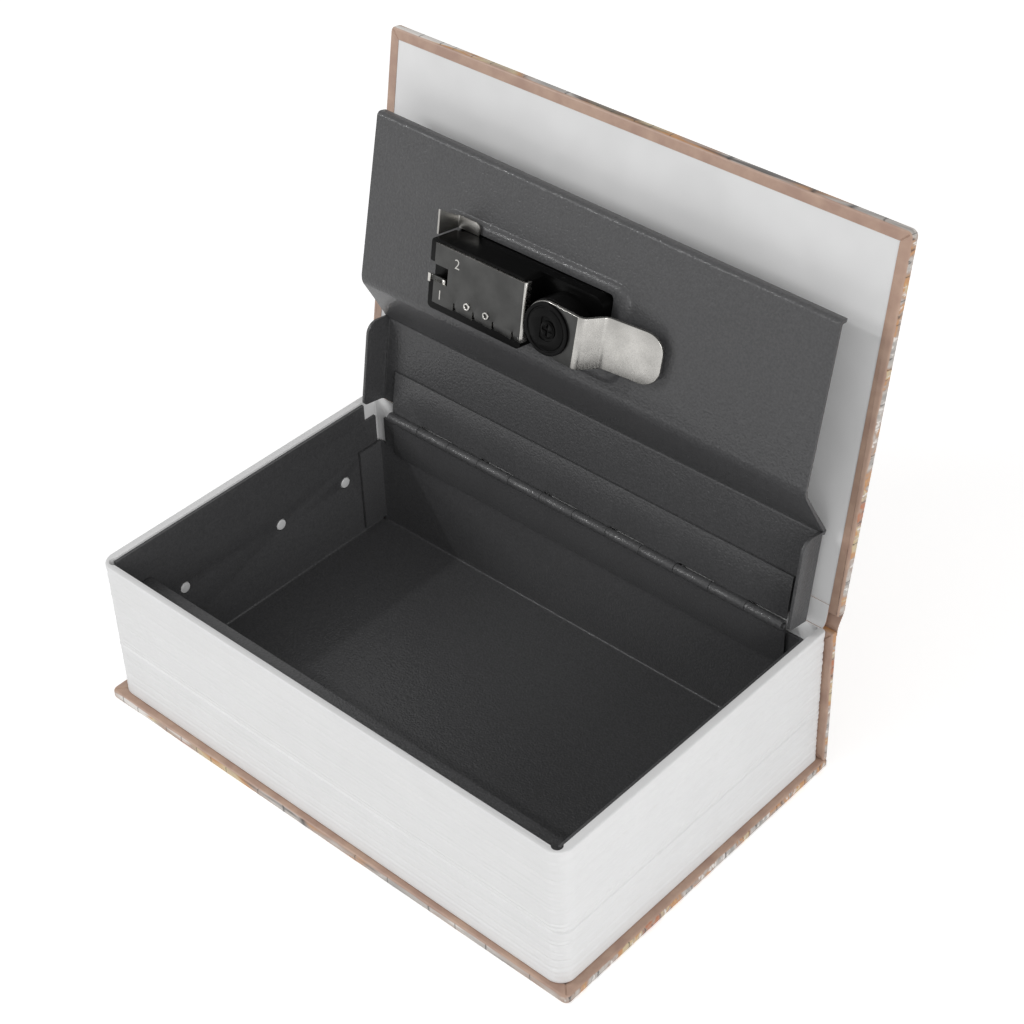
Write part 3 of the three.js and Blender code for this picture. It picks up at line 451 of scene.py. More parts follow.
def printed_cover_paper(name, corner, turn, turn_in_depth=2.68):
    """Laminated offset-printed paper: plain tan where it is turned in, and outside a marbled streak print.

    The pattern lies in the board's own frame, which starts at the corner, in millimetres, and is turned about
    X by turn degrees. The outer face is at zero height there, and tan takes over at the turn-in's depth.
    """
    material, tree, shader, place = new_material(name, "#9E7F6E", 0.42)
    board_frame = add_node(tree, "ShaderNodeMapping",
                           {"vector_type": "TEXTURE", "Location": [c * MM for c in corner],
                            "Rotation": (math.radians(turn), 0, 0)}, {"Vector": place})
    local = board_frame.outputs["Vector"]

    # Broad patches of ink, drawn out along the spine
    streaks = add_node(tree, "ShaderNodeMapping", {"Scale": (0.16, 1.0, 0.6)}, {"Vector": local})
    patch = add_node(tree, "ShaderNodeTexNoise",
                     {"Scale": per_metre(11), "Detail": 3.0, "Roughness": 0.6, "Distortion": 0.6},
                     {"Vector": streaks.outputs["Vector"]})
    patches = add_node(tree, "ShaderNodeValToRGB",
                       {"stops": [(0.34, "#8E8A86"), (0.43, "#B8B1AB"), (0.48, "#A28E81"),
                                  (0.53, "#B98450"), (0.57, "#C2B08C"), (0.62, "#A08B7D"),
                                  (0.68, "#AE6A44"), (0.74, "#8F6455")]},
                       {"Fac": patch.outputs["Fac"]})

    # Thin dark and pale threads over them
    thread = add_node(tree, "ShaderNodeMapping", {"Scale": (0.05, 1.0, 0.3)}, {"Vector": local})
    hair = add_node(tree, "ShaderNodeTexNoise", {"Scale": per_metre(1.5), "Detail": 2.0},
                    {"Vector": thread.outputs["Vector"]})
    dark = add_node(tree, "ShaderNodeValToRGB", {"stops": [(0.33, "#57504B"), (0.4, "#FFFFFF")]},
                    {"Fac": hair.outputs["Fac"]})
    lined = add_node(tree, "ShaderNodeMix", {"data_type": "RGBA", "blend_type": "MULTIPLY", 0: 0.85},
                     {6: patches.outputs["Color"], 7: dark.outputs["Color"]})
    pale = add_node(tree, "ShaderNodeValToRGB", {"stops": [(0.58, "#000000"), (0.64, "#FFFFFF")]},
                    {"Fac": hair.outputs["Fac"]})
    streaked = add_node(tree, "ShaderNodeMix", {"data_type": "RGBA", 7: linear("#D8D3CE")},
                        {0: pale.outputs["Color"], 6: lined.outputs[2]})

    # Dark veins that cross the board's edge upright
    across = add_node(tree, "ShaderNodeMapping", {"Scale": (1.0, 1.0, 0.04)}, {"Vector": local})
    field = add_node(tree, "ShaderNodeTexNoise", {"Scale": per_metre(13), "Detail": 0.0},
                     {"Vector": across.outputs["Vector"]})
    vein = add_node(tree, "ShaderNodeValToRGB",
                    {"stops": [(0.49, "#FFFFFF"), (0.5, "#2B2725"), (0.51, "#FFFFFF")]},
                    {"Fac": field.outputs["Fac"]})
    ink = add_node(tree, "ShaderNodeMix", {"data_type": "RGBA", "blend_type": "MULTIPLY", 0: 0.9},
                   {6: streaked.outputs[2], 7: vein.outputs["Color"]})

    # The ragged line where the print gives way to plain tan
    height = add_node(tree, "ShaderNodeSeparateXYZ", {}, {"Vector": local})
    ragged = add_node(tree, "ShaderNodeTexNoise", {"Scale": per_metre(4), "Detail": 2.0},
                      {"Vector": streaks.outputs["Vector"]})
    edge = add_node(tree, "ShaderNodeMath", {"operation": "MULTIPLY_ADD", 1: 0.8 * MM},
                    {0: ragged.outputs["Fac"], 2: height.outputs["Z"]})
    inside = add_node(tree, "ShaderNodeMapRange",
                      {"From Min": (turn_in_depth + 0.25) * MM, "From Max": (turn_in_depth + 0.45) * MM},
                      {"Value": edge.outputs["Value"]})
    mottle = add_node(tree, "ShaderNodeTexNoise", {"Scale": per_metre(6), "Detail": 3.0}, {"Vector": local})
    tan = add_node(tree, "ShaderNodeValToRGB", {"stops": [(0.35, "#9E8172"), (0.65, "#AE9280")]},
                   {"Fac": mottle.outputs["Fac"]})
    colour = add_node(tree, "ShaderNodeMix", {"data_type": "RGBA"},
                      {0: inside.outputs["Result"], 6: ink.outputs[2], 7: tan.outputs["Color"]})
    tree.links.new(colour.outputs[2], shader.inputs["Base Color"])
    roughen(tree, shader, mottle.outputs["Fac"], 0.2, 0.2)
    return material


def endpaper():
    """White wove paper pasted down, with slow cockles from the paste."""
    material, tree, shader, place = new_material("endpaper", "#D8D8D8", 0.7)
    cockle = add_node(tree, "ShaderNodeTexNoise", {"Scale": per_metre(22), "Detail": 2.0}, {"Vector": place})
    roughen(tree, shader, cockle.outputs["Fac"], 0.5, 1.2)
    tone = add_node(tree, "ShaderNodeValToRGB", {"stops": [(0.35, "#D4D4D4"), (0.65, "#DBDBDB")]},
                    {"Fac": cockle.outputs["Fac"]})
    tree.links.new(tone.outputs["Color"], shader.inputs["Base Color"])
    return material


STEEL = powder_coated_steel()
WHITE = white_moulded_plastic()
BLACK = black_moulded_plastic()
BRIGHT = plated_steel("bright_nickel", "#B9B7B3", 0.18, 0.34, 0.4)
SATIN = plated_steel("satin_nickel", "#A6A4A0", 0.3, 0.42, 0.35)
# A darker copy of the nickel: painted dark reflection on the back plate and latch arm, and painted shade on
# the reset slider's bar
PAINTED_DARK_NICKEL = plated_steel("nickel_painted_dark", "#4D4D4C", 0.36, 0.52, 0.3)
PAPER = endpaper()
BASE_PRINT = printed_cover_paper("printed_cover_paper_back", (0, -HALF_DEPTH, 0), 0)
SPINE_PRINT = printed_cover_paper("printed_cover_paper_spine", (0, HALF_DEPTH, BLOCK_LOW), 90, 1.68)
COVER_PRINT = printed_cover_paper("printed_cover_paper_front", COVER_CORNER, COVER_TURN)
# In the joint the paper has no turn-in, so one side is print through and through and the other plain
JOINT_PRINT = printed_cover_paper("printed_cover_paper_joint", COVER_CORNER, COVER_TURN, 30)
TURNED_IN = printed_cover_paper("plain_turned_in_paper", COVER_CORNER, COVER_TURN, -60)
FINISHES = {"board": bookbinding_board(), "cover_print": BASE_PRINT, "endpaper": PAPER, "page_plastic": WHITE,
            "powder_coat": STEEL, "nickel": BRIGHT, "lock_plastic": BLACK}

for subpart in frame["record"]["subparts"]:
    paint(frame["nodes"][subpart["node"]], FINISHES[subpart["material_slot"]])


# The case

def bound_board(name, depth, thickness, near_margin, material, corner=1.9):
    """A board in its printed wrap, inner face up, from y = 0: folded corners, a turn-in round that face."""
    board = start_box(name, (-HALF_LENGTH, 0, 0), (HALF_LENGTH, depth, thickness))
    edit(board)
    pick("EDGE", lambda a, b: upright(a, b) and a.y > 1)
    round_edges(corner, 6)
    pick("EDGE", lambda a, b: upright(a, b) and a.y < 1)
    round_edges(0.6, 3)
    pick("EDGE", lambda a, b: near(a.z, b.z))
    round_edges(0.8, 4)
    inner_x = HALF_LENGTH - TURN_IN
    inner_y = depth - TURN_IN
    for axis, place in (("X", -inner_x), ("X", inner_x), ("Y", inner_y), ("Y", near_margin)):
        slice_at(axis, place)
    pick("FACE", lambda p: near(p.z, thickness) and abs(p.x) < inner_x and near_margin < p.y < inner_y)
    pull(0, 0, -0.35)

    def on_mitre(p, side, slack):
        return near(side * p.x - HALF_LENGTH, p.y - depth, slack)

    # The mitre where the corners of the paper meet, pressed into a crease
    for side in (-1, 1):
        pick("VERT", lambda p: near(p.z, thickness) and (
            (near(p.x, side * inner_x) and near(p.y, inner_y))
            or (side * p.x > inner_x + 1 and on_mitre(p, side, 0.01))))
        bpy.ops.mesh.vert_connect()
        pick("EDGE", lambda a, b: both(a.z, b.z, thickness) and min(a.y, b.y) > inner_y - 0.1
             and abs((a - b).x) > 1 and near(abs((a - b).x), abs((a - b).y), 0.01))
        round_edges(0.3, 2)
        pick("VERT", lambda p: near(p.z, thickness) and on_mitre(p, side, 0.02) and p.y > inner_y + 0.1)
        shift(0, 0, -0.22)
    leave()
    smooth(board, 30)
    paint(board, material)
    return board


def make_case():
    """The three bound boards, and the endpaper pasted into the front one."""
    back = bound_board("bound_back_board", 2 * HALF_DEPTH, BOARD, TURN_IN, BASE_PRINT)
    # The board lies with its fore edge at the front, so it is turned end for end
    stand(back, (0, HALF_DEPTH, 0), (0, 0, math.pi))
    edit(back)
    pick("VERT", lambda p: p.x > 80 and p.y < -50)
    shift(0.7, 0.9, 0)
    leave()
    file_piece(back, "book", ("base_board", "wrap_base"))

    spine = bound_board("bound_spine_board", BLOCK_TOP - 0.7 - BLOCK_LOW, SPINE_BOARD, TURN_IN, SPINE_PRINT,
                        corner=0.7)
    stand(spine, (0, HALF_DEPTH, BLOCK_LOW), (math.pi / 2, 0, 0))
    file_piece(spine, "book", ("spine_board", "wrap_spine"))

    front = bound_board("bound_front_board", COVER_DEPTH - JOINT_GAP, BOARD, 0.3, COVER_PRINT)
    sheet = start_sheet("pasted_endpaper", -PAPER_HALF, PAPER_HALF, 0.3, COVER_DEPTH - JOINT_GAP - 3.45,
                        BOARD - 0.22)
    thicken(sheet, 0.2)
    for piece in (front, sheet):
        stand(piece, (0, JOINT_GAP, 0))
        stand(piece, COVER_CORNER, (math.radians(COVER_TURN), 0, 0))
    file_piece(front, "cover", ("cover_board", "wrap_cover"))
    file_piece(sheet, "cover", ("cover_endpaper",), (PAPER,))


def bent_paper(name, path, half, thickness, material, stands_for=(), one_sided=False):
    """A strip of paper along the joint, drawn through (y, z) points, that curves round the joint.

    Its rim is plain, and one-sided paper is plain on all sides but the one that faces back.
    """
    (y0, z0), (y1, z1) = path[:2]
    deselect()
    bpy.ops.mesh.primitive_plane_add(size=1.0)
    strip = bpy.context.object
    strip.name = name
    strip.scale = (2 * half * MM, math.hypot(y1 - y0, z1 - z0) * MM, 1.0)
    stand(strip, (0, (y0 + y1) / 2, (z0 + z1) / 2), (math.atan2(z1 - z0, y1 - y0), 0, 0))
    edit(strip)
    for (ya, za), (yb, zb) in zip(path[1:], path[2:]):
        pick("EDGE", lambda a, b: both(a.y, b.y, ya) and both(a.z, b.z, za))
        pull(0, yb - ya, zb - za)
    leave()
    apply_modifier(strip, "SUBSURF", levels=2, subdivision_type="CATMULL_CLARK",
                   boundary_smooth="PRESERVE_CORNERS")
    paint(strip, material, TURNED_IN)
    thicken(strip, thickness, rim=1)
    smooth(strip, 50)
    if one_sided:
        for polygon in strip.data.polygons:
            polygon.material_index = 0 if polygon.normal.y > 0.3 else 1
    if stands_for:
        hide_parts(*stands_for)
    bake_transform(strip)


def make_joint():
    """Outside, the printed paper runs from spine to front board, and inside the endpaper does."""
    outer = [(57.55, 49.6), (57.6, 50.8), (57.75, 51.9), (58.2, 53.0), (58.95, 54.2), (59.6, 55.2),
             (60.2, 56.4), (60.42, 57.6), (60.6, 58.6)]
    inner = [(54.9, 52.2), (55.5, 52.3), (56.05, 52.65), (56.5, 53.4), (56.8, 54.4), (57.0, 55.4),
             (57.2, 56.5), (57.4, 57.7), (57.6, 58.8)]
    bent_paper("joint_paper", outer, HALF_LENGTH - 0.3, 0.3, JOINT_PRINT,
               ("joint_strip_spine", "joint_strip_cover"), one_sided=True)
    bent_paper("joint_endpaper", inner, PAPER_HALF, 0.25, PAPER)


# The page block

# Heights of the grooves between the false leaves, with depth and half width, in millimetres
LEAF_GROOVES = [
    (49.6, 0.10, 0.5), (48.6, 0.22, 0.4), (46.4, 0.08, 0.6), (44.3, 0.24, 0.45), (43.0, 0.12, 0.4),
    (41.6, 0.26, 0.4), (39.4, 0.16, 0.5), (38.2, 0.10, 0.4), (36.7, 0.28, 0.4), (35.3, 0.26, 0.35),
    (33.8, 0.14, 0.4), (32.1, 0.28, 0.4), (30.6, 0.26, 0.35), (28.9, 0.16, 0.5), (27.2, 0.12, 0.4),
    (25.6, 0.28, 0.4), (24.1, 0.26, 0.35), (22.6, 0.24, 0.35), (20.6, 0.14, 0.45), (18.9, 0.28, 0.4),
    (17.3, 0.26, 0.35), (16.0, 0.14, 0.3), (14.7, 0.26, 0.4), (13.1, 0.14, 0.4), (11.6, 0.26, 0.4),
    (10.1, 0.14, 0.35), (8.6, 0.22, 0.4), (6.6, 0.12, 0.5), (5.0, 0.10, 0.4)]


def make_page_block():
    """A moulded ring with the look of gathered leaves on its open sides, and a seat for the tray in it."""
    block = start_box("page_block_moulding", (-BLOCK_X, BLOCK_FRONT, BLOCK_LOW),
                      (BLOCK_X, BLOCK_BACK, BLOCK_TOP))
    edit(block)
    pick("EDGE", lambda a, b: upright(a, b) and a.y < 0)
    round_edges(5.0, 12)
    pick("EDGE", lambda a, b: upright(a, b) and a.y > 50)
    round_edges(1.5, 4)
    pick("EDGE", lambda a, b: both(a.z, b.z, BLOCK_TOP))
    round_edges(0.5, 4)
    pick("EDGE", lambda a, b: both(a.z, b.z, BLOCK_LOW))
    round_edges(0.4, 2)
    # Rings of points round the walls, drawn in where a groove is
    pick("EDGE", lambda a, b: abs(a.z - b.z) > 40)
    bpy.ops.mesh.subdivide(number_cuts=139)
    rings = sorted({round(v.co.z / MM, 3) for v in bmesh.from_edit_mesh(block.data).verts})
    for level in rings:
        depth = 1.1 * sum(d * math.exp(-((level - z) / w / 1.3) ** 2) for z, d, w in LEAF_GROOVES)
        if depth > 0.01 and level < BLOCK_TOP - 0.75:
            pick("VERT", lambda p: near(p.z, level, 0.01))
            bpy.ops.transform.resize(value=(1 - depth / BLOCK_X, 1 - depth / BLOCK_BACK, 1),
                                     center_override=(0, 0, 0))
    slice_at("X", 0)
    slice_at("Y", 0)
    leave()
    seat = start_box("seat", (-CAVITY_X, CAVITY_FRONT, 0), (CAVITY_X, CAVITY_BACK, 60))
    edit(seat)
    pick("EDGE", upright)
    round_edges(0.5, 3)
    leave()
    relief = 1.6
    inset = (relief - 0.2) * math.sqrt(0.5)
    reliefs = [start_rod("corner_relief", (x, CAVITY_FRONT + inset, 50), relief, 20.6, 40)
               for x in (inset - CAVITY_X, CAVITY_X - inset)]
    cut(block, seat, *reliefs)
    edit(block)
    pick("EDGE", lambda a, b: both(a.z, b.z, BLOCK_TOP) and max(abs(a.x), abs(b.x)) < BLOCK_X - 1
         and min(a.y, b.y) > BLOCK_FRONT + 1 and max(a.y, b.y) < CAVITY_BACK + 0.1)
    round_edges(0.12, 2)
    leave()
    smooth(block, 32)
    file_piece(block, "book", ("page_block",), (WHITE,))


# The steel tray

def make_tray():
    """One blank folded up on four sides, with corner reliefs, a lip on the front wall and lapped tabs.

    The sheet is drawn at the middle of its thickness. The tabs of the end walls lap inside the side walls.
    """
    x_mid, y_low, y_high, z_mid = 84.75, -52.25, 53.85, 3.55
    fold = 1.02
    flap = x_mid - fold
    lip, rear_top, side_top = 39.25, 45.6, 51.5
    tab_foot, front_tab, rear_tab = 5.3, 38.4, 35.5
    notch_x, notch_y, notch_low = 81.0, 48.5, 45.2
    tray = start_sheet("folded_steel_tray", -x_mid, x_mid, y_low, y_high, z_mid)
    edit(tray)
    for axis, place in (("X", -flap), ("X", flap), ("Y", y_low + fold), ("Y", y_high - fold)):
        slice_at(axis, place)
    pick("FACE", lambda p: abs(p.x) > flap and (p.y < y_low + fold or p.y > y_high - fold))
    bpy.ops.mesh.delete(type="FACE")
    pick("EDGE", lambda a, b: both(a.y, b.y, y_low))
    pull(0, 0, lip - z_mid)
    pull(0, 11.25, 0)
    pick("EDGE", lambda a, b: both(a.y, b.y, y_high) and near(a.z, z_mid))
    pull(0, 0, rear_top - z_mid)
    for side in (-1, 1):
        pick("EDGE", lambda a, b: both(a.x, b.x, side * x_mid) and near(a.z, b.z))
        pull(0, 0, side_top - z_mid)
    pick("EDGE", lambda a, b: both(a.z, b.z, z_mid) and (
        (near(abs(a.x), x_mid) and near(a.x, b.x))
        or (near(a.y, b.y) and (near(a.y, y_low) or near(a.y, y_high)))))
    round_edges(1.0, 5)
    pick("EDGE", lambda a, b: both(a.z, b.z, lip) and both(a.y, b.y, y_low))
    round_edges(1.5, 5)
    # The walls' outlines: end walls narrower at their top, side walls notched behind for the hinge
    for axis, place in (("Z", tab_foot), ("Z", rear_tab), ("Z", front_tab), ("Z", notch_low), ("Y", notch_y),
                        ("X", -notch_x), ("X", notch_x)):
        slice_at(axis, place)
    pick("FACE", lambda p: near(p.y, y_high) and abs(p.x) > notch_x and p.z > rear_tab)
    bpy.ops.mesh.delete(type="FACE")
    pick("FACE", lambda p: near(abs(p.x), x_mid) and p.y > notch_y and p.z > notch_low)
    bpy.ops.mesh.delete(type="FACE")
    # The side walls close up to the end walls, and the end walls' tabs lap inside them
    for y, run in ((y_low + fold, -0.27), (y_high - fold, 0.27)):
        pick("EDGE", lambda a, b: both(abs(a.x), abs(b.x), x_mid) and both(a.y, b.y, y)
             and min(a.z, b.z) > 4.5)
        pull(0, run, 0)
    for side in (-1, 1):
        for y, top, run in ((y_low, front_tab, 9.45), (y_high, rear_tab, -9.45)):
            pick("EDGE", lambda a, b: both(a.x, b.x, side * flap) and near(a.y, b.y)
                 and abs(a.y - y) < 0.5 and 5.2 < min(a.z, b.z) and max(a.z, b.z) < top + 0.1)
            pull(0, run, 0)
    pick("EDGE", lambda a, b: near(abs(a.x), flap) and upright(a, b) and min(a.z, b.z) > 5.2 and (
        (abs(a.y - y_low) < 0.5 and max(a.z, b.z) < front_tab + 0.1)
        or (abs(a.y - y_high) < 0.5 and max(a.z, b.z) < rear_tab + 0.1)))
    round_edges(0.6, 3)
    pick("VERT", lambda p: near(abs(p.x), flap) and near(p.y, -41.0) and near(p.z, lip))
    round_corners(1.5, 5)
    leave()
    thicken(tray, SHEET)
    cut(tray, *[start_rod("peg_hole", (0, y, 27.3), 2.05, 200, 40, "X") for y in (-28.98, 10.29, 38.01)])
    soften(tray, 0.14)
    file_piece(tray, "book", ("steel_tray",), (STEEL,))


# The piano hinge

def make_leaf(name, first):
    """A hinge leaf in its own frame: the pin along X through the origin, the leaf level and running out in Y.

    Every second strip, from the given one on, goes on past the leaf's edge and is rolled round the pin.
    """
    pitch = 2 * HINGE_HALF / 12
    root = 1.68
    leaf = start_sheet(name, -HINGE_HALF, HINGE_HALF, root, 15.5, KNUCKLE)
    edit(leaf)
    for strip in range(12):
        slice_at("X", -HINGE_HALF + strip * pitch + 0.07)
        slice_at("X", -HINGE_HALF + (strip + 1) * pitch - 0.07)
    pick("EDGE", lambda a, b: both(a.y, b.y, root) and abs(a.x - b.x) > 5
         and int((min(a.x, b.x) + HINGE_HALF) // pitch) % 2 == first)
    pull(0, -root, 0)
    bpy.ops.mesh.spin(steps=18, angle=math.radians(-300), center=(0, 0, 0), axis=(1, 0, 0))
    leave()
    thicken(leaf, 0.75)
    return leaf


def make_hinge():
    """Both leaves of the piano hinge, on the tray's rear wall and on the lid."""
    tray_leaf = make_leaf("hinge_leaf_on_tray", 1)
    # Level sheet to standing sheet: y runs down, z runs back
    stand(tray_leaf, LID_HINGE, (-math.pi / 2, 0, 0))
    soften(tray_leaf, 0.1)
    file_piece(tray_leaf, "book", ("tray_hinge_leaf",), (STEEL,))

    lid_leaf = make_leaf("hinge_leaf_on_lid", 0)
    lid_leaf.scale = (1, -1, 1)
    settle(lid_leaf)
    edit(lid_leaf)
    outward()
    leave()
    swing(lid_leaf)
    soften(lid_leaf, 0.1)
    file_piece(lid_leaf, "lid", ("lid_hinge_leaf",), (STEEL,))


# The lid

def make_lid():
    """One blank: rear panel with two ears, slope, sunk main panel with a pressed pocket, front flange."""
    side, wide = 81.55, 0.45
    rear, main, front = 2.15, -8.85, -98.7
    fold, crease = -32.5, -48.3
    ear, flange = -6.7, 2.7
    lid = start_sheet("folded_steel_lid", -side, side, fold, -4.0, rear)
    edit(lid)
    pick("EDGE", lambda a, b: both(a.y, b.y, fold))
    pull(0, -15.8, main - rear)
    pull(0, front - crease, 0)
    pull(0, 0, flange)
    for hand in (-1, 1):
        pick("EDGE", lambda a, b: both(a.x, b.x, hand * side) and both(a.z, b.z, rear))
        pull(0, 0, ear - rear)
        pick("EDGE", lambda a, b: both(a.x, b.x, hand * side) and min(a.y, b.y) < fold - 0.1
             and max(a.y, b.y) < fold + 0.1)
        pull(hand * wide, 0, 0)
    pick("EDGE", lambda a, b: near(a.y, b.y) and near(a.z, b.z) and near(a.y, fold) and near(a.z, rear))
    round_edges(1.2, 5)
    pick("EDGE", lambda a, b: near(a.y, b.y) and near(a.z, b.z) and near(a.y, crease))
    round_edges(1.7, 7)
    pick("EDGE", lambda a, b: both(a.y, b.y, front) and both(a.z, b.z, main))
    round_edges(0.9, 5)
    pick("EDGE", lambda a, b: near(abs(a.x), side) and near(a.x, b.x) and both(a.z, b.z, rear))
    round_edges(1.3, 5)
    pick("VERT", lambda p: near(abs(p.x), side) and near(p.z, ear) and p.y < -30)
    round_corners(4.0, 8)
    pick("VERT", lambda p: near(abs(p.x), side) and near(p.z, ear) and p.y > -5)
    round_corners(1.5, 5)
    pick("VERT", lambda p: near(abs(p.x), side + wide) and near(p.y, front) and near(p.z, main + flange))
    round_corners(1.3, 5)

    # The pocket for the lock, pressed in from outside in one soft step
    pocket_x, pocket_y = -17.25, -67.55
    middle = (pocket_x * MM, pocket_y * MM, main * MM)
    pick("FACE", lambda p: near(p.z, main) and abs(p.x) < 1 and -97 < p.y < -52)
    bpy.ops.mesh.delete(type="ONLY_FACE")
    bpy.ops.mesh.select_all(action="DESELECT")
    bpy.ops.mesh.primitive_plane_add(size=1.0, location=middle)
    bpy.ops.transform.resize(value=(71.5 * MM, 30.1 * MM, 1), center_override=middle)
    pick("VERT", lambda p: near(p.z, main) and abs(p.x - pocket_x) < 35.85 and abs(p.y - pocket_y) < 15.15)
    round_corners(6.0, 10)
    pick("FACE", lambda p: near(p.z, main) and near(p.x, pocket_x, 0.3) and near(p.y, pocket_y, 0.3))
    for run, drop in ((0.45, 0.1), (0.4, 0.3), (0.4, 0.45), (0.4, 0.3), (0.45, 0.1)):
        bpy.ops.mesh.inset(thickness=run * MM, depth=0)
        shift(0, 0, -drop)

    # The panel is filled again between its own edges and the pocket's rim
    mesh = bmesh.from_edit_mesh(lid.data)
    bpy.ops.mesh.select_mode(type="EDGE")
    bpy.ops.mesh.select_all(action="DESELECT")
    for edge in mesh.edges:
        a, b = (v.co / MM for v in edge.verts)
        level = near(a.z, main, 0.005) and near(b.z, main, 0.005)
        outer = near(a.x, b.x) and abs(a.x) > side + 0.1
        if level and not outer and len(edge.link_faces) == 1 and front + 0.1 < a.y < -49.5:
            edge.select_set(True)
    bmesh.update_edit_mesh(lid.data)
    bpy.ops.mesh.fill()
    leave()
    edit(lid)
    bpy.ops.mesh.select_all(action="SELECT")
    bpy.ops.mesh.remove_doubles(threshold=0.01 * MM)
    bpy.ops.mesh.normals_make_consistent(inside=False)

    # The front edge is out of square, and the sunk panel a little narrower than the rear one and leaning back
    pick("VERT", lambda p: p.y < -93)
    bpy.ops.transform.rotate(value=-FRONT_SKEW, orient_axis="Z",
                             center_override=(5.4 * MM, front * MM, main * MM))
    pick("VERT", lambda p: p.y < -46.4)
    bpy.ops.transform.resize(value=(0.9957, 1, 1), center_override=(0, 0, 0))
    bpy.ops.transform.rotate(value=PANEL_LEAN, orient_axis="X", center_override=(0, -75 * MM, main * MM))
    leave()
    thicken(lid, SHEET)
    window = start_box("lock_window", (-44.3, -78.9, -20), (12.4, -56.7, 0))
    edit(window)
    pick("EDGE", upright)
    round_edges(1.5, 4)
    leave()
    cut(lid, window)
    swing(lid)
    soften(lid, 0.12)
    file_piece(lid, "lid", ("lid_plate",), (STEEL,))


# The lock

def dressed_copy(name, node, body, width, material, segments=2, angle=35):
    """A small part taken over from the model: faces merged, edges broken and rounds smoothed."""
    source = frame["nodes"][node]
    deselect()
    piece = bpy.data.objects.new(name, source.data.copy())
    bpy.context.scene.collection.objects.link(piece)
    edit(piece)
    bpy.ops.mesh.select_all(action="SELECT")
    bpy.ops.mesh.remove_doubles(threshold=0.002 * MM)
    bpy.ops.mesh.customdata_custom_splitnormals_clear()
    bpy.ops.mesh.dissolve_limited(angle_limit=math.radians(1.0))
    leave()
    soften(piece, width, segments, angle)
    file_piece(piece, body, (node,), (material,))
    return piece


def make_lock_parts():
    """The housing, whose end stands a little past the solid's, and the small parts in the lock and tray."""
    housing = dressed_copy("lock_housing", "lock_body", "lid", 0.35, BLACK, 3)
    edit(housing)
    pick("VERT", lambda p: p.x < -42.3)
    shift(-0.75, 0, 0)
    leave()
    dressed_copy("lock_retaining_clip", "lock_clip", "lid", 0.1, SATIN)
    dressed_copy("outer_turn_knob", "turn_knob", "latch", 0.4, BLACK, 3, 25)
    for number in (1, 2):
        dressed_copy("staked_rivet_%d" % number, "plate_rivet_%d" % number, "lid",
                     0.18, BRIGHT, 3, 40)
    for number in (1, 2, 3):
        dressed_copy("number_dial_%d" % number, "dial_wheel_%d" % number, "dial_%d" % number,
                     0.2, BLACK, 2, 50)
    for number in range(1, 7):
        dressed_copy("frame_peg_%d" % number, "frame_rivet_%d" % number, "book",
                     0.3, WHITE, 3, 50)


def make_reset_slider():
    """The nickel-plated reset slider in the plate's open slot, its thumb end turned up beside the housing."""
    slider = start_box("reset_slider", (-44.4, -67.4, -21.6), (-38.2, -65.6, -20.9))
    edit(slider)
    slice_at("X", -43.4)
    pick("FACE", lambda p: near(p.z, -21.6) and p.x < -43.4)
    pull(0, 0, -0.9)
    pick("VERT", lambda p: near(p.z, -22.5))
    bpy.ops.transform.resize(value=(1, 1.5, 1), center_override=(0, -66.2 * MM, 0))
    slice_at("X", -39.4)
    pick("FACE", lambda p: near(p.z, -21.6) and p.x > -39.4)
    pull(0, 0, -0.4)
    leave()
    # The slider's bar takes the darker copy of the nickel as painted shade, and its two ends the bright copy
    # as a painted highlight
    paint(slider, PAINTED_DARK_NICKEL, BRIGHT)
    paint_highlight(slider, lambda middle, normal: middle.x < -43.3 or middle.x > -39.5)
    swing(slider)
    soften(slider, 0.18, 3)
    file_piece(slider, "reset", ("reset_lever",))


def make_back_plate():
    """The lock's stamped back plate: a folded end, slits with a bent tab beside each, an open reset slot."""
    fold, rim = -9.0, -59.6
    slits = (-34.0, -26.6, -19.2, -11.9)
    plate = start_sheet("stamped_back_plate", -42.3, fold, -77.8, rim, PLATE_LEVEL)
    edit(plate)
    pick("EDGE", lambda a, b: both(a.x, b.x, fold))
    pull(0, 0, 2.1)
    for x in slits:
        for step in (-0.3, 0.3, 2.1):
            slice_at("X", x + step)
    for place in (-62.1, -66.2, -71.4, -61.2):
        slice_at("Y", place)
    slice_at("X", -37.1)
    pick("FACE", lambda p: near(p.z, PLATE_LEVEL) and p.y > -62.1 and any(abs(p.x - x) < 0.3 for x in slits))
    bpy.ops.mesh.delete(type="FACE")
    pick("FACE", lambda p: near(p.z, PLATE_LEVEL) and p.x < -37.1 and -71.4 < p.y < -66.2)
    bpy.ops.mesh.delete(type="FACE")
    pick("VERT", lambda p: near(p.y, rim) and near(p.z, PLATE_LEVEL)
         and any(x + 0.29 < p.x < x + 2.11 for x in slits))
    shift(0, 0, 0.65)
    pick("EDGE", lambda a, b: both(a.x, b.x, fold) and both(a.z, b.z, PLATE_LEVEL))
    round_edges(0.6, 4)
    leave()
    # Its faces take the darker copy of the nickel as painted dark reflection, and its folded end and edges
    # the bright copy as a painted highlight
    paint(plate, PAINTED_DARK_NICKEL, BRIGHT)
    thicken(plate, 0.8)
    soften(plate, 0.22)
    paint_highlight(plate, lambda middle, normal: middle.x > -9.15 or abs(normal.z) < 0.9)
    swing(plate)
    file_piece(plate, "lid", ("lock_back_plate",))


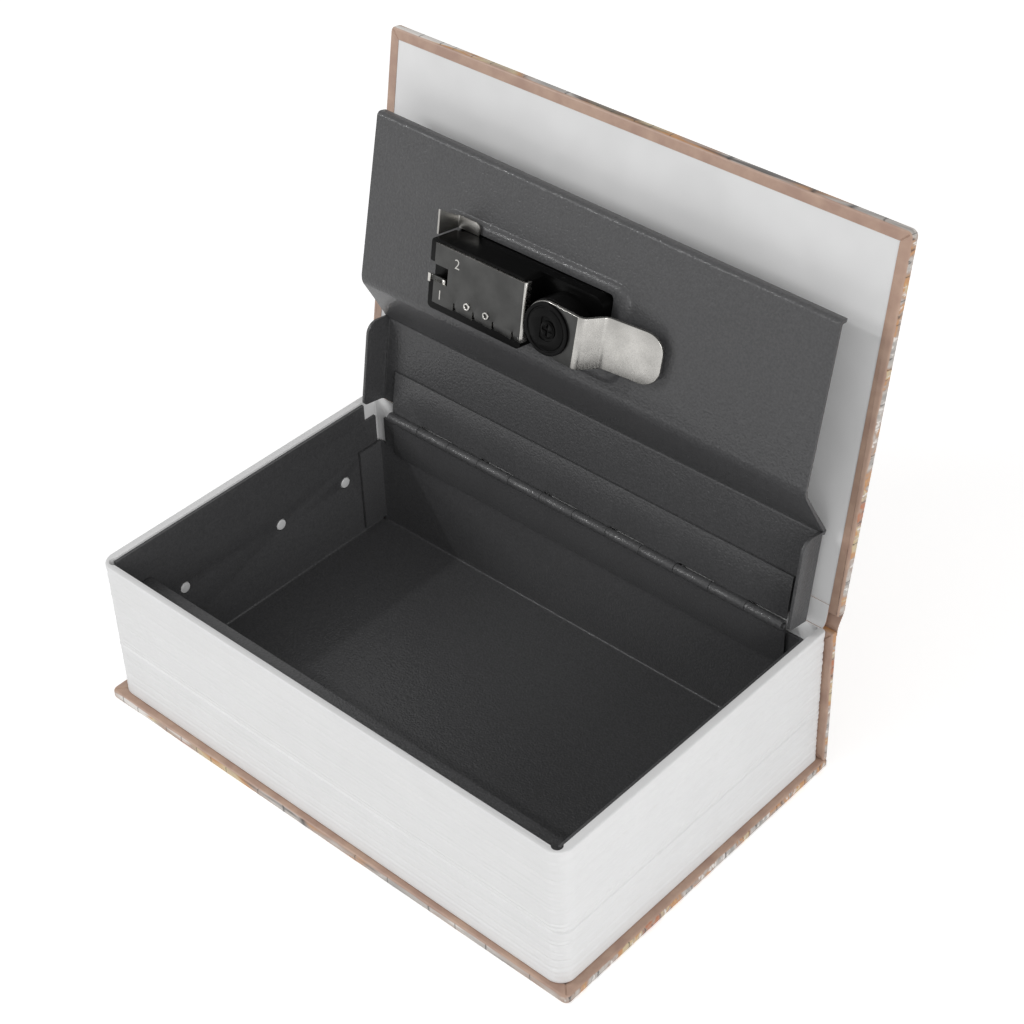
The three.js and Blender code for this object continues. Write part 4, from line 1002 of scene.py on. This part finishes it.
def make_plate_numbers():
    """Positions 1 and 2 of the reset slider, stamped in the plate."""
    for number, x, y in (("1", -39.6, -62.4), ("2", -33.9, -73.9)):
        deselect()
        bpy.ops.object.text_add(location=(x * MM, y * MM, (PLATE_LEVEL - 0.4) * MM), rotation=(math.pi, 0, 0))
        label = bpy.context.object
        label.data.body = number
        label.data.size = 4.2 * MM
        label.data.align_x = "CENTER"
        label.data.align_y = "CENTER"
        label.data.extrude = 0.03 * MM
        label.data.offset = -0.03 * MM
        bpy.ops.object.convert(target="MESH")
        label = bpy.context.object
        label.name = "stamped_number_" + number
        settle(label)
        edit(label)
        outward()
        leave()
        swing(label)
        # The numbers take the bright nickel against the plate's darker copy, a painted highlight on their
        # stamped relief
        file_piece(label, "lid", (), (BRIGHT,))


def make_latch_arm():
    """The cranked latch arm: a flat round the hub, two soft folds, and a tongue, in nickel with painted
    reflection and highlight.
    """
    half, fold, second_fold = 7.85, 10.9, 14.1
    arm = start_sheet("cranked_latch_arm", -half, fold, -half, half, LATCH_LEVEL)
    edit(arm)
    pick("EDGE", lambda a, b: both(a.x, b.x, fold))
    pull(3.2, 0, 6.7)
    pull(17.3, 0, 3.8)
    pick("VERT", lambda p: near(p.x, -half))
    round_corners(7.8, 16)
    pick("VERT", lambda p: near(p.x, 31.4))
    round_corners(5.5, 10)
    pick("EDGE", lambda a, b: near(a.x, b.x) and (near(a.x, fold) or near(a.x, second_fold)))
    round_edges(1.25, 8)
    leave()
    # The flat takes the darker copy of the nickel as painted dark reflection, and the folds, tongue and edges
    # the bright copy as a painted highlight
    paint(arm, PAINTED_DARK_NICKEL, BRIGHT)
    thicken(arm, 1.2)
    soften(arm, 0.2, 3)
    paint_highlight(arm, lambda middle, normal: middle.x > 9.4 or abs(normal.z) < 0.9)
    stand(arm, LATCH_HUB, (0, 0, LATCH_TILT))
    swing(arm)
    file_piece(arm, "latch", ("latch_arm",))


def make_hub_cap():
    """The black cap on the spindle: a raised ring, a D-shaped recess and the screw in it.

    Out of the lock is down in the frame of the shut lid: the cap's faces are at -22.9 and, outside, -23.7.
    """
    cap = start_rod("hub_cap_moulding", (0, 0, -23.3), 7.6, 0.8, 72)
    edit(cap)
    pick("FACE", lambda p: near(p.z, -23.7))
    bpy.ops.mesh.inset(thickness=1.0 * MM, depth=0)
    pull(0, 0, 0.3)
    bpy.ops.mesh.inset(thickness=0.5 * MM, depth=0)
    pull(0, 0, -0.2)
    leave()
    recess = start_rod("recess", (0, 0, -23.9), 3.5, 1.4, 48)
    cut(recess, start_box("flat", (-6, -6, -26), (-1.9, 6, -22)))
    cut(cap, recess)
    soften(cap, 0.2, 3)
    screw = start_rod("hub_screw", (0.6, 0, -23.2), 2.5, 0.6, 40)
    edit(screw)
    pick("FACE", lambda p: near(p.z, -23.5))
    bpy.ops.mesh.inset(thickness=0.4 * MM, depth=0)
    pull(0, 0, -0.2)
    leave()
    cut(screw, start_box("slot", (-1.2, -0.35, -26), (2.4, 0.35, -23.3)),
        start_box("cross_slot", (0.25, -1.8, -26), (0.95, 1.8, -23.3)))
    soften(screw, 0.1)
    for piece, stands_for in ((cap, ("hub_cap",)), (screw, ())):
        stand(piece, LATCH_HUB, (0, 0, LATCH_TILT))
        swing(piece)
        file_piece(piece, "latch", stands_for, (BLACK,))


make_case()
make_joint()
make_page_block()
make_tray()
make_hinge()
make_lid()
make_lock_parts()
make_reset_slider()
make_back_plate()
make_plate_numbers()
make_latch_arm()
make_hub_cap()


# The studio

def seen_rays(tree):
    """1 on camera, glossy and transmission rays, which show floor and world as plain white, else 0."""
    path = tree.nodes.new("ShaderNodeLightPath")
    mirrored = add_node(tree, "ShaderNodeMath", {"operation": "MAXIMUM"},
                        {0: path.outputs["Is Glossy Ray"], 1: path.outputs["Is Transmission Ray"]})
    seen = add_node(tree, "ShaderNodeMath", {"operation": "MAXIMUM"},
                    {0: path.outputs["Is Camera Ray"], 1: mirrored.outputs["Value"]})
    return seen.outputs["Value"]


def make_floor():
    """A plain white floor that shows only the object's soft shadow."""
    deselect()
    bpy.ops.mesh.primitive_plane_add(size=6.0, location=(0, 0, 0))
    floor = bpy.context.object
    floor.name = "floor"
    material, tree, shader, _ = new_material("studio_floor", "#FFFFFF", 0.9)
    shader.inputs["Specular IOR Level"].default_value = 0.0
    glow = add_node(tree, "ShaderNodeMath", {"operation": "MULTIPLY", 1: FLOOR_GLOW}, {0: seen_rays(tree)})
    shader.inputs["Emission Color"].default_value = (1, 1, 1, 1)
    tree.links.new(glow.outputs["Value"], shader.inputs["Emission Strength"])
    floor.data.materials.append(material)


def make_light():
    """A white studio: an even world, a soft lamp on each side, and a small one for the coating's glints."""
    world = bpy.data.worlds.new("studio")
    bpy.context.scene.world = world
    world.use_nodes = True
    tree = world.node_tree
    background = tree.nodes["Background"]
    background.inputs["Color"].default_value = (1, 1, 1, 1)
    strength = add_node(tree, "ShaderNodeMapRange", {"To Min": WORLD_FILL, "To Max": 1.0},
                        {"Value": seen_rays(tree)})
    tree.links.new(strength.outputs["Result"], background.inputs["Strength"])
    for name, (place, size, energy) in LAMPS.items():
        bpy.ops.object.light_add(type="AREA", location=place)
        lamp = bpy.context.object
        lamp.name = name
        lamp.data.shape = "DISK"
        lamp.data.size = size
        lamp.data.energy = energy
        aim = Vector((0, 0, 0.05)) - lamp.location
        lamp.rotation_euler = aim.to_track_quat("-Z", "Y").to_euler()


def make_camera():
    """The photograph's viewpoint."""
    bpy.ops.object.camera_add(location=CAMERA_PLACE)
    camera = bpy.context.object
    camera.rotation_mode = "YXZ"
    camera.rotation_euler = [math.radians(a) for a in CAMERA_TURN]
    camera.data.lens = CAMERA_LENS
    camera.data.sensor_width = SENSOR
    bpy.context.scene.camera = camera


make_floor()
make_light()
make_camera()
bpy.context.scene.view_settings.view_transform = "Standard"
